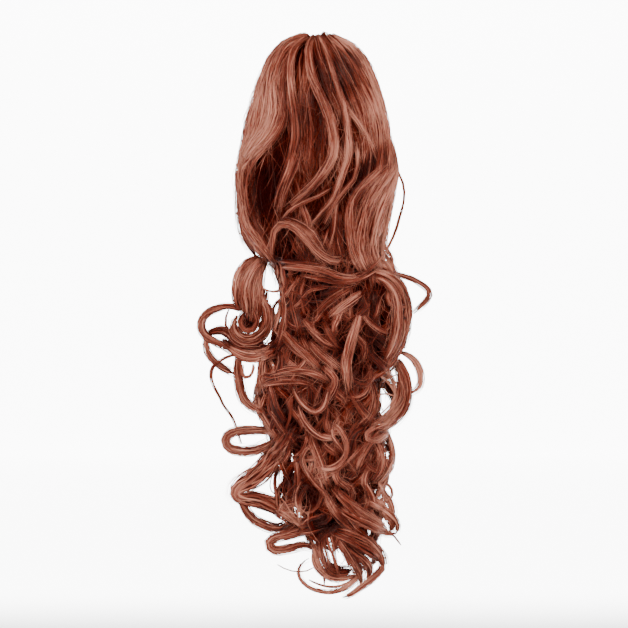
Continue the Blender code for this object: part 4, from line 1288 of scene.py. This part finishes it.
# %% The hair finish
DARK_HAIR = (0.022, 0.0003, 0.0001)
DEEP_HAIR = (0.088, 0.0055, 0.0015)
WARM_HAIR = (0.19, 0.033, 0.016)
PALE_HAIR = (0.55, 0.218, 0.147)
HAIR_STOPS = ((0.0, DARK_HAIR), (0.33, DEEP_HAIR), (0.62, WARM_HAIR), (1.0, PALE_HAIR))
SHINE_TINT = (1.0, 0.66, 0.52)
BROAD_STREAKS = 0.6  # contrast of the wide, slow streaks
SEED_STEP = 37.0  # moves each strand to its own place in the noise


def streak_place(finish, seed, fineness, stretch):
    """Noise coordinates that close round a strand: round its girth as a circle, then along its length."""
    place = finish.node("ShaderNodeUVMap", {"uv_map": "strand"})
    turn = finish.part_of(place, 0) * (2 * math.pi)
    along = finish.part_of(place, 1)
    sine = finish.node("ShaderNodeMath", {"operation": "SINE"}, {0: turn})
    cosine = finish.node("ShaderNodeMath", {"operation": "COSINE"}, {0: turn})
    across, ahead = sine * fineness + seed * SEED_STEP, cosine * fineness
    return finish.node("ShaderNodeCombineXYZ", {}, {0: across, 1: ahead, 2: along * stretch})


def streaks_of(finish, seed, fineness, stretch, detail):
    """Noise drawn out along each strand."""
    place = streak_place(finish, seed, fineness, stretch)
    return finish.node("ShaderNodeTexNoise", {}, {"Vector": place, "Scale": 1.0, "Detail": detail})


def hair_finish(name, tone_shift=0.0, roughness=0.38, shine=0.28, streaks=1.8):
    """Hair coloured by its tone and its streaks, with a tinted shine."""
    finish = Finish(name)
    tone = finish.node("ShaderNodeAttribute", {"attribute_name": "tone"}, output=2)
    seed = finish.node("ShaderNodeAttribute", {"attribute_name": "seed"}, output=2)
    fine = streaks_of(finish, seed, 1.2, 4.0, 3.0)
    broad = streaks_of(finish, seed, 0.3, 3.0, 2.0)
    mixed = tone + (fine - 0.5) * streaks + (broad - 0.5) * BROAD_STREAKS + tone_shift
    colour = finish.node("ShaderNodeValToRGB", {"stops": HAIR_STOPS}, {0: mixed})
    bump = finish.node("ShaderNodeBump", {}, {"Strength": 0.35, "Distance": 0.0002, "Height": fine})
    finish.set(base_color=colour, roughness=roughness + (fine - 0.5) * 0.22, normal=bump)
    finish.shader.inputs["Specular IOR Level"].default_value = shine
    finish.shader.inputs["Specular Tint"].default_value = (*SHINE_TINT, 1)
    return finish.material


hair = hair_finish("auburn_hair")
# Shaded copies of the hair finish, darker and with less shine: painted shade for the hair under the locks and
# for the cores.
shaded_under_hair = hair_finish("auburn_hair_under_shaded", tone_shift=-0.04, roughness=0.5, shine=0.04, streaks=1.3)
shaded_core_hair = hair_finish("auburn_hair_core_shaded", tone_shift=-0.25, roughness=0.8, shine=0.0)
print("hair finishes:", hair.name, shaded_under_hair.name, shaded_core_hair.name)

# %% [markdown]
# ## What lies under the locks
# Between the locks one sees more hair, deeper and darker. A closed core, coloured dark as painted shade,
# stops the light, and loose falls of hair laid over it give the gaps their streaks. The core of the crown has
# the same channel for the clip as the real piece has, open towards the wearer's head.

# %% Cores
CORE_INSET = 15.0
CORE_SIDES = 28
CLIP_ROOM = 24.5  # half width of the channel round the clip
CLIP_HALF_HEIGHT = 42.5
CHANNEL_ROUND = 1.25  # how far the channel's round reaches out, in half widths
CHANNEL_BACK = 60.0  # how far it reaches towards the wearer
CORE_RINGS = 26
CORE_ROUND = 14.0  # how far from its ends a core starts to round off
CORE_DARK = 0.12  # its tone, dark as painted shade


def loft(name, rings):
    """A closed mesh over rings of (across, out, drop) points."""
    tubes = Tubes(name)
    tubes.rings.append(np.array(rings))
    tubes.tones.append(CORE_DARK)
    tubes.runs.append(np.linspace(0, STRAND_SCALE, len(rings)))
    return tubes


def core(name, first, last, nodes):
    """A closed filling under the hair from one drop to another, coloured dark as painted shade."""
    drops = np.linspace(first, last, CORE_RINGS)
    bearings = np.linspace(0, 360, CORE_SIDES, endpoint=False)
    rings = []
    for drop in drops:
        end = min((drop - first) / CORE_ROUND, (last - drop) / CORE_ROUND, 1.0)
        left, right, front, back = section(drop)
        deepest = min((right - left) / 2, (front - back) / 2) - 2
        inset = CORE_INSET + (1 - math.sqrt(max(end, 0))) * 12
        rings.append(on_mass(bearings, drop, min(inset, deepest)))
    return mesh_of(loft(name, rings), shaded_core_hair, nodes)


def cut_channel(piece):
    """Cut the clip's channel out of the crown's core."""
    room, tall = CLIP_ROOM / MM, CLIP_HALF_HEIGHT / MM
    outline = [(room, CHANNEL_BACK / MM), (-room, CHANNEL_BACK / MM)]
    for turn in np.linspace(math.pi, 2 * math.pi, 15):
        outline.append((room * math.cos(turn), room * math.sin(turn) * CHANNEL_ROUND))
    count = len(outline)
    points = [(x, y, z) for z in (-tall, tall) for x, y in outline]
    faces = [(k, (k + 1) % count, count + (k + 1) % count, count + k) for k in range(count)]
    faces += [tuple(range(count))[::-1], tuple(range(count, 2 * count))]
    mesh = bpy.data.meshes.new("clip_channel")
    mesh.from_pydata(points, [], faces)
    cutter = bpy.data.objects.new("clip_channel", mesh)
    bpy.context.scene.collection.objects.link(cutter)
    cut = piece.modifiers.new("clip_channel", "BOOLEAN")
    cut.operation = "DIFFERENCE"
    cut.solver = "EXACT"
    cut.object = cutter
    bpy.context.view_layer.update()
    graph = bpy.context.evaluated_depsgraph_get()
    worked = bpy.data.meshes.new_from_object(piece.evaluated_get(graph))
    piece.modifiers.clear()
    piece.data = worked
    bpy.data.objects.remove(cutter)


crown_core = core("crown_core", 6, 232, ["crown_hair"])
cut_channel(crown_core)
core("tail_core", 204, 492, ["middle_hair"])


# %% [markdown]
# ## Falls of hair over the core
# These are locks with no story of their own. A loop lays them at even bearings round the mass and lets a
# seeded random generator vary where they start, how far they reach and how they wave. On the crown they
# run nearly straight. On the tail the wave is as deep as a roller leaves it.

# %% Falls
ROOT_DEPTH = 9.0  # how far a fall's root lies under the others
ROOT_RUN = 14.0  # over this much of its drop
TIP_DEPTH = 5.0
TIP_RUN = 18.0
TOP_ROOTS = 30.0  # roots above this drop are held by the clip and lie on top
CROWN_STEP, TAIL_STEP = 13.0, 7.5  # distance between rings
TAIL_SWAY = 15  # degrees that a tail fall swings to each side


def fall_route(rng, bearing, start, end, inset, sway, wavelength, curl):
    """A waving route down the mass near one bearing."""
    drops = np.linspace(start, end, max(5, round((end - start) / 9)))
    phase = rng.uniform(0, 2 * np.pi)
    wave = 2 * np.pi * (drops - start) / wavelength + phase
    bearings = bearing + sway * np.sin(wave)
    depth = inset + curl * np.cos(wave) * rng.choice((-1, 1))
    depth = depth + ROOT_DEPTH * np.clip(1 - (drops - start) / ROOT_RUN, 0, 1) * (start > TOP_ROOTS)
    depth = depth + TIP_DEPTH * np.clip(1 - (end - drops) / TIP_RUN, 0, 1)
    return on_mass(bearings, drops, depth)


def facing_of(points):
    """The way out of the mass at each point of a route, for locks on its sides and back."""
    left, right, front, back = section(points[:, 2])
    middle = np.column_stack(((left + right) / 2, (front + back) / 2, points[:, 2]))
    return unit(points - middle)


def side_lock(tubes, rng, stations, wide, deep, tone, step, hairs):
    """A lock that faces out of the mass on whichever side it hangs."""
    points, _ = smooth_route(stations, step)
    fill_lock(tubes, rng, stations, wide, deep, tone, step, facing_of(points), hairs)


def crown_falls(tubes, rng, bearings, inset, tone, start, end, wide=(3, 6, 4), hairs=1.0):
    """Nearly straight falls, one near each bearing."""
    for bearing in bearings:
        own = bearing + rng.uniform(-3, 3)
        first = start + rng.uniform(0, 8)
        last = end + rng.uniform(-26, 34)
        route = fall_route(rng, own, first, last, inset + rng.uniform(-1, 1), 4, rng.uniform(120, 190), 1.5)
        side_lock(tubes, rng, route, wide, (3, 3.5, 3), tone + rng.normal(0, 0.08), CROWN_STEP, hairs)


def tail_falls(tubes, rng, bearings, inset, tone, start, end, length, wide=(3, 5, 3), hairs=0.4):
    """Waved falls of about one length, one near each bearing, that start anywhere there is room."""
    for bearing in bearings:
        first = start + rng.uniform(0, max(4.0, end - start - length))
        last = min(first + length * rng.uniform(0.85, 1.2), end)
        own = bearing + rng.uniform(-5, 5)
        depth, wavelength = inset + rng.uniform(-1, 1), rng.uniform(58, 84)
        route = fall_route(rng, own, first, last, depth, TAIL_SWAY, wavelength, 4.5)
        side_lock(tubes, rng, route, wide, (2.5, 3, 2), tone + rng.normal(0, 0.1), TAIL_STEP, hairs)



# %% [markdown]
# ## Strewn hair
# Locks in tables look combed. What makes hair look worn is the little that strays: flat wisps and single
# hairs that cross the locks at chance. Each starts anywhere in a region, heads down and turns as it goes,
# with its root and tip tucked in.

# %% Strewn routes
SEEN = "seen"  # a region of the seen side runs across in mm
ROUND = "round"  # a region round the mass runs in degrees of bearing
STREWN_STEP = 7.0  # distance between stations
WISP_STEP = 6.5  # and between a wisp's rings
ENDS_RUN = 14.0  # how much of each end is tucked in


def strewn_route(rng, region, length, bend, lift, side):
    """A route that starts somewhere in a region, heads down and turns as it goes."""
    first, last, top, bottom = region
    count = max(6, round(length * rng.uniform(0.5, 1.3) / STREWN_STEP))
    run = np.arange(count) * STREWN_STEP
    heading = rng.normal(0, 0.35) + wander(rng, run, bend, 70) + rng.normal(0, bend) * run / 60
    aside, begin = np.cumsum(np.sin(heading)) * STREWN_STEP, rng.uniform(first, last)
    drop = rng.uniform(top, bottom) + np.cumsum(np.cos(heading)) * STREWN_STEP
    left, right, front, back = section(drop)
    stand = rng.uniform(*lift) + wander(rng, run, 1.0, 50)
    stand = stand - 6 * np.clip(1 - run / ENDS_RUN, 0, 1) - 5 * np.clip((run - run[-1]) / ENDS_RUN + 1, 0, 1)
    if side == ROUND:
        bearing = begin + np.degrees(aside * 4 / (right - left + front - back))
        return on_mass(bearing, drop, -stand)
    across = np.clip(begin + aside, left - 1, right + 1)
    return np.column_stack((across, face_of_mass(across, drop) + stand, drop))


def messy_hairs(tubes, rng, count, region, length, bend, lift, tone, side=SEEN):
    """Single hairs strewn over a region."""
    for _ in range(count):
        points, at = smooth_route(strewn_route(rng, region, length, bend, lift, side), STREWN_STEP)
        across, through = frames_along(points, facing_of(points) if side == ROUND else UP_TO_VIEWER)
        size = HAIR_HALF * rng.uniform(0.8, 1.5) * end_taper(at / at[-1], 0.1, 0.3)
        tubes.add(points, across, through, size, size, 3, tone + rng.normal(0, 0.2))


def wisps(tubes, rng, count, region, length, bend, lift, tone, wide=(1.8, 3.6), side=SEEN):
    """Flat locks strewn over a region."""
    for _ in range(count):
        route = strewn_route(rng, region, length, bend, lift, side)
        half = rng.uniform(*wide)
        own_tone = tone + rng.normal(0, TONE_SPREAD)
        points, _ = smooth_route(route, WISP_STEP)
        facing = facing_of(points) if side == ROUND else UP_TO_VIEWER
        sizes = (half, half, half * 0.6), (1.2, 1.2 + half / 8, 1.0)
        fill_lock(tubes, rng, route, *sizes, own_tone, WISP_STEP, facing, hairs=0.7)


# %% [markdown]
# ## The pieces of hair
# Every piece has its own seeded generator, so changing one leaves the others as they were. The crown has
# its traced locks, straight falls under and beside them, and shaded and lit strays. The tail has its
# ringlets, waved falls between them, and wisps all round.

# %% Crown pieces
SWOOP_STEP, CURL_STEP = 9.0, 4.8  # distance between rings on the crown's locks and on ringlets
crown_front = Tubes("crown_long_locks")
rng = np.random.default_rng(11)
lay_locks(crown_front, rng, CROWN_LOCKS, SWOOP_STEP, fineness=1.35)
mesh_of(crown_front, hair, ["crown_hair"])

crown_under = Tubes("crown_under_hair")
rng = np.random.default_rng(12)
crown_falls(crown_under, rng, np.arange(18, 108, 9), 7, 0.4, 4, 226, wide=(3, 6, 5), hairs=0.7)
crown_falls(crown_under, rng, np.arange(112, 164, 9), 11, 0.3, 4, 226, wide=(3, 6, 5), hairs=0.7)
mesh_of(crown_under, shaded_under_hair, ["crown_hair"])

crown_deep = Tubes("crown_deep_hairs")
rng = np.random.default_rng(16)
messy_hairs(crown_deep, rng, 280, (-26, 26, 40, 150), 90, 0.28, (-4, 1), 0.44)
messy_hairs(crown_deep, rng, 120, (-66, -20, 90, 180), 70, 0.45, (-6, 0), 0.36)
mesh_of(crown_deep, shaded_under_hair, ["crown_hair"])

crown_fine = Tubes("crown_fine_hairs")
rng = np.random.default_rng(15)
messy_hairs(crown_fine, rng, 160, (-60, 60, 8, 190), 80, 0.16, (1, 5), 0.5)
messy_hairs(crown_fine, rng, 100, (-40, 60, 160, 225), 60, 0.6, (0, 6), 0.5)
wisps(crown_fine, rng, 14, (-40, 50, 150, 190), 60, 0.35, (-2, 3), 0.5)
mesh_of(crown_fine, hair, ["crown_hair"])

crown_sides = Tubes("crown_side_locks")
rng = np.random.default_rng(13)
crown_falls(crown_sides, rng, np.arange(-46, 34, 9), 5.5, 0.5, 5, 222)
crown_falls(crown_sides, rng, np.arange(150, 230, 9), 5, 0.5, 5, 222)
mesh_of(crown_sides, hair, ["crown_hair"])

crown_back = Tubes("crown_back_locks")
rng = np.random.default_rng(14)
crown_falls(crown_back, rng, (235, 241, 247, 293, 299, 305), 4, 0.46, 5, 190)
crown_falls(crown_back, rng, np.arange(234, 312, 8), 4, 0.46, 99, 232)
crown_falls(crown_back, rng, np.arange(238, 308, 12), 3, 0.46, 130, 240)
mesh_of(crown_back, hair, ["crown_hair"])

# %% Tail pieces on the seen side
for title, table, node, seed in (
    ("middle_curls", MIDDLE_LOCKS, "middle_hair", 21),
    ("lower_curls", LOWER_LOCKS, "lower_hair", 22),
    ("tip_curls", TIP_LOCKS, "tip_hair", 23),
    ("left_curls", LEFT_LOCKS, "left_ringlets", 24),
    ("right_curls", RIGHT_LOCKS, "right_ringlets", 25),
):
    curls = Tubes(title)
    lay_locks(curls, np.random.default_rng(seed), table, CURL_STEP, fineness=1.2)
    mesh_of(curls, hair, [node])

# %% Tail pieces under and behind
tail_under = Tubes("tail_under_hair")
rng = np.random.default_rng(31)
tail_falls(tail_under, rng, np.arange(5, 178, 15), 6, 0.44, 200, 330, 95)
tail_falls(tail_under, rng, np.arange(5, 178, 17), 5, 0.44, 280, 420, 95)
tail_falls(tail_under, rng, np.arange(5, 178, 19), 5, 0.44, 370, 490, 85)
tail_falls(tail_under, rng, np.arange(15, 170, 26), 4, 0.44, 430, 506, 66, wide=(3, 4, 1.6), hairs=0.7)
mesh_of(tail_under, shaded_under_hair, ["middle_hair", "lower_hair", "tip_hair"])

tail_fine = Tubes("tail_fine_hairs")
rng = np.random.default_rng(33)
wisps(tail_fine, rng, 40, (-40, 75, 215, 310), 70, 0.65, (-1, 5), 0.42)
wisps(tail_fine, rng, 40, (-42, 62, 310, 400), 70, 0.65, (-1, 5), 0.42)
wisps(tail_fine, rng, 28, (-34, 62, 395, 480), 60, 0.65, (-1, 5), 0.44)
messy_hairs(tail_fine, rng, 340, (-50, 75, 210, 330), 70, 0.75, (-2, 7), 0.42)
messy_hairs(tail_fine, rng, 340, (-50, 70, 310, 440), 70, 0.75, (-2, 7), 0.42)
messy_hairs(tail_fine, rng, 140, (-40, 60, 430, 505), 40, 0.75, (-2, 6), 0.44)
mesh_of(tail_fine, hair, ["middle_hair", "lower_hair", "tip_hair"])

tail_back = Tubes("tail_back_hair")
rng = np.random.default_rng(32)
tail_falls(tail_back, rng, np.arange(184, 360, 24), 5, 0.44, 196, 330, 110)
tail_falls(tail_back, rng, np.arange(184, 360, 29), 5, 0.44, 290, 440, 105)
tail_falls(tail_back, rng, np.arange(184, 360, 34), 4, 0.44, 400, 512, 90, wide=(3, 4, 1.6))
wisps(tail_back, rng, 20, (178, 362, 190, 290), 90, 0.7, (-3, 4), 0.46, (2.5, 5), ROUND)
wisps(tail_back, rng, 20, (178, 362, 280, 380), 90, 0.7, (-3, 4), 0.46, (2.5, 5), ROUND)
wisps(tail_back, rng, 14, (178, 362, 370, 450), 70, 0.7, (-3, 4), 0.46, (2, 4), ROUND)
mesh_of(tail_back, hair, ["middle_hair", "lower_hair", "tip_hair"])

round_fine = Tubes("round_fine_hairs")
rng = np.random.default_rng(34)
wisps(round_fine, rng, 16, (150, 390, 150, 230), 70, 0.5, (-1, 3), 0.46, side=ROUND)
messy_hairs(round_fine, rng, 160, (165, 375, 10, 180), 80, 0.25, (-1, 4), 0.46, side=ROUND)
messy_hairs(round_fine, rng, 260, (165, 375, 180, 440), 70, 0.75, (-2, 6), 0.44, side=ROUND)
mesh_of(round_fine, hair, ["crown_hair", "middle_hair", "lower_hair"])

# %% [markdown]
# ## Ringlets behind
# The side towards the wearer isn't in the photograph. A hairpiece like this has the same ringlets all
# round, so these hang as plain spirals, wide ribbons wound round an upright line as a roller leaves them.

# %% Spirals
RINGLET_STEP = 6.5  # the round of a spiral needs a point this often, in mm
# Columns: across, out, start, end, radius, turns, phase in degrees, drift across
BACK_RINGLETS = (
    (-26, -37, 214, 330, 7, 2.0, 20, -6),
    (-2, -41, 212, 398, 8, 3.0, 140, -4),
    (24, -42, 212, 440, 8, 3.6, 250, 2),
    (50, -40, 214, 420, 8, 3.2, 60, 4),
    (70, -32, 222, 372, 7, 2.4, 300, 0),
)


def spiral(across, out, start, end, radius, turns, phase, drift):
    """Stations of one hanging ringlet, which widens over its first turns."""
    along = np.linspace(0, 1, max(6, round(turns * 9)))
    turn = math.radians(phase) + 2 * np.pi * turns * along
    swell = radius * (0.35 + 0.65 * np.minimum(1.0, along * 2.5))
    aside, outwards = across + drift * along + swell * np.cos(turn), out + swell * np.sin(turn)
    return np.column_stack((aside, outwards, start + (end - start) * along))


ringlets = Tubes("back_ringlet_locks")
rng = np.random.default_rng(41)
for row in BACK_RINGLETS:
    stations = spiral(*row)
    points, _ = smooth_route(stations, RINGLET_STEP)
    centre = np.column_stack((np.full(len(points), row[0]), np.full(len(points), row[1]), points[:, 2]))
    tone = 0.46 + rng.normal(0, 0.06)
    fill_lock(
        ringlets, rng, stations, (3, 6, 3), (2.5, 3, 2), tone, RINGLET_STEP, unit(points - centre), free=True
    )
mesh_of(ringlets, hair, ["back_ringlets"])

# %% [markdown]
# ## The clip
# The clip is the one hard part: glossy dark plastic, a little mottled from moulding. It keeps its solid
# from the frame and only gets a finish.

# %% Clip finish
clip_finish = Finish("clip_plastic")
PLASTIC_STOPS = ((0.3, (0.014, 0.005, 0.003)), (0.75, (0.036, 0.013, 0.008)))
mottle = clip_finish.node("ShaderNodeTexNoise", {}, {"Scale": 180.0, "Detail": 3.0})
tint = clip_finish.node("ShaderNodeValToRGB", {"stops": PLASTIC_STOPS}, {0: mottle})
relief = clip_finish.node("ShaderNodeBump", {}, {"Strength": 0.15, "Distance": 0.0002, "Height": mottle})
clip_finish.set(base_color=tint, roughness=0.3 + mottle * 0.12, normal=relief)
clip_finish.shader.inputs["Specular IOR Level"].default_value = 0.35
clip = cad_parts["claw_clip"]
clip.data.materials.clear()
clip.data.materials.append(clip_finish.material)
print("clip finish:", clip_finish.material.name)

# %% [markdown]
# ## Studio
# The photograph has a white sweep, one broad light high in front and soft light from everywhere else.
# The camera stands far back with a long lens, so the curls keep their sizes from front to back.

# %% Floor and backdrop
FLOOR = -0.545  # just under the tips
WALL = 7.0  # how far behind the hair the backdrop stands
WALL_TOP = 6.0
SWEEP = 1.4  # radius of the bend between floor and backdrop
REACH = 9.0  # of the floor forwards and to each side
GLOW = 9.0  # how strongly the paper behind the hair shines, which keeps it white
GREY_STOPS = ((0.0, (0.93, 0.93, 0.93)), (1.0, (0.96, 0.96, 0.96)))
stage_finish = Finish("studio_white")
grain = stage_finish.node("ShaderNodeTexNoise", {}, {"Scale": 40.0, "Detail": 2.0})
paper = stage_finish.node("ShaderNodeValToRGB", {"stops": GREY_STOPS}, {0: grain})
place = stage_finish.node("ShaderNodeNewGeometry")
depth = stage_finish.part_of(place, 1)
aside = stage_finish.node("ShaderNodeMath", {"operation": "ABSOLUTE"}, {0: stage_finish.part_of(place, 0)})
height = stage_finish.part_of(place, 2)
glow = stage_finish.ease(depth, -0.05, 0.9) * stage_finish.ease(aside, 1.9, 1.0)
glow = glow * stage_finish.ease(height, 1.9, 0.8)
black_to_white = {0: glow, 6: (0, 0, 0, 1), 7: (1, 1, 1, 1)}
shine = stage_finish.node("ShaderNodeMix", {"data_type": "RGBA"}, black_to_white, output=2)
stage_finish.set(base_color=paper, roughness=0.9, emission_color=shine)
stage_finish.shader.inputs["Emission Strength"].default_value = GLOW

# %% The sweep
sweep_points = [(-REACH, FLOOR)]
for turn in np.linspace(0, math.pi / 2, 20):
    bend_y, bend_z = WALL + SWEEP * (math.sin(turn) - 1), FLOOR + SWEEP * (1 - math.cos(turn))
    sweep_points.append((bend_y, bend_z))
sweep_points.append((WALL, WALL_TOP))
points = [(x, y, z) for y, z in sweep_points for x in (-REACH, REACH)]
faces = [(2 * k, 2 * k + 1, 2 * k + 3, 2 * k + 2) for k in range(len(sweep_points) - 1)]
sweep_mesh = bpy.data.meshes.new("studio_sweep")
sweep_mesh.from_pydata(points, [], faces)
sweep_mesh.shade_smooth()
sweep_mesh.materials.append(stage_finish.material)
sweep = bpy.data.objects.new("studio_sweep", sweep_mesh)
bpy.context.scene.collection.objects.link(sweep)
print("sweep faces:", len(faces))

# %% [markdown]
# ## Lights
# One broad lamp stands high in front and draws the shine down the crown. A wide one at each side keeps the
# edges pale, and a weak even world fills what is left without a haze over the darks.

# %% Lights
# Columns: name, place, target, size, watts
LIGHTS = (
    ("key_light", (-0.15, -2.0, 1.0), (0, 0, -0.15), 0.8, 66),
    ("fill_light", (2.0, -1.3, 0.1), (0, 0, -0.25), 1.4, 32),
    ("left_light", (-2.0, -1.1, 0.1), (0, 0, -0.25), 1.4, 32),
)


def area_light(name, place, target, size, watts):
    """A round lamp that looks at a target."""
    data = bpy.data.lights.new(name, "AREA")
    data.shape = "DISK"
    data.size = size
    data.energy = watts
    lamp = bpy.data.objects.new(name, data)
    lamp.location = place
    way = np.array(target) - np.array(place)
    flat = math.hypot(way[0], way[1])
    lamp.rotation_euler = (math.atan2(flat, -way[2]), 0, math.atan2(way[1], way[0]) - math.pi / 2)
    bpy.context.scene.collection.objects.link(lamp)


for row in LIGHTS:
    area_light(*row)
WORLD_STRENGTH = 0.3
world = bpy.data.worlds.new("studio")
world.use_nodes = True
world.node_tree.nodes["Background"].inputs["Color"].default_value = (1, 1, 1, 1)
world.node_tree.nodes["Background"].inputs["Strength"].default_value = WORLD_STRENGTH
bpy.context.scene.world = world
print("lamps:", [row[0] for row in LIGHTS])

# %% [markdown]
# ## Camera
# The photograph looks straight at the hairpiece from its own height, with nothing drawn together by
# perspective. A long lens far away gives that. Its length follows from the width that the frame shows.

# %% Camera
CAMERA_DISTANCE = 4.0
FACE_OUT = 0.03  # how far in front of the clip the seen face lies, roughly
FRAME_WIDTH = 0.609  # width of the photograph's frame at the hair
FRAME_CENTRE = (-0.001, -0.2166)
SENSOR = 36.0
camera_data = bpy.data.cameras.new("photo_camera")
camera_data.sensor_fit = "HORIZONTAL"
camera_data.sensor_width = SENSOR
camera_data.lens = SENSOR * CAMERA_DISTANCE / FRAME_WIDTH
camera = bpy.data.objects.new("photo_camera", camera_data)
camera.location = (FRAME_CENTRE[0], -CAMERA_DISTANCE - FACE_OUT, FRAME_CENTRE[1])
camera.rotation_euler = (math.pi / 2, 0, 0)
bpy.context.scene.collection.objects.link(camera)
bpy.context.scene.camera = camera
print("lens:", round(camera_data.lens, 1), "mm")
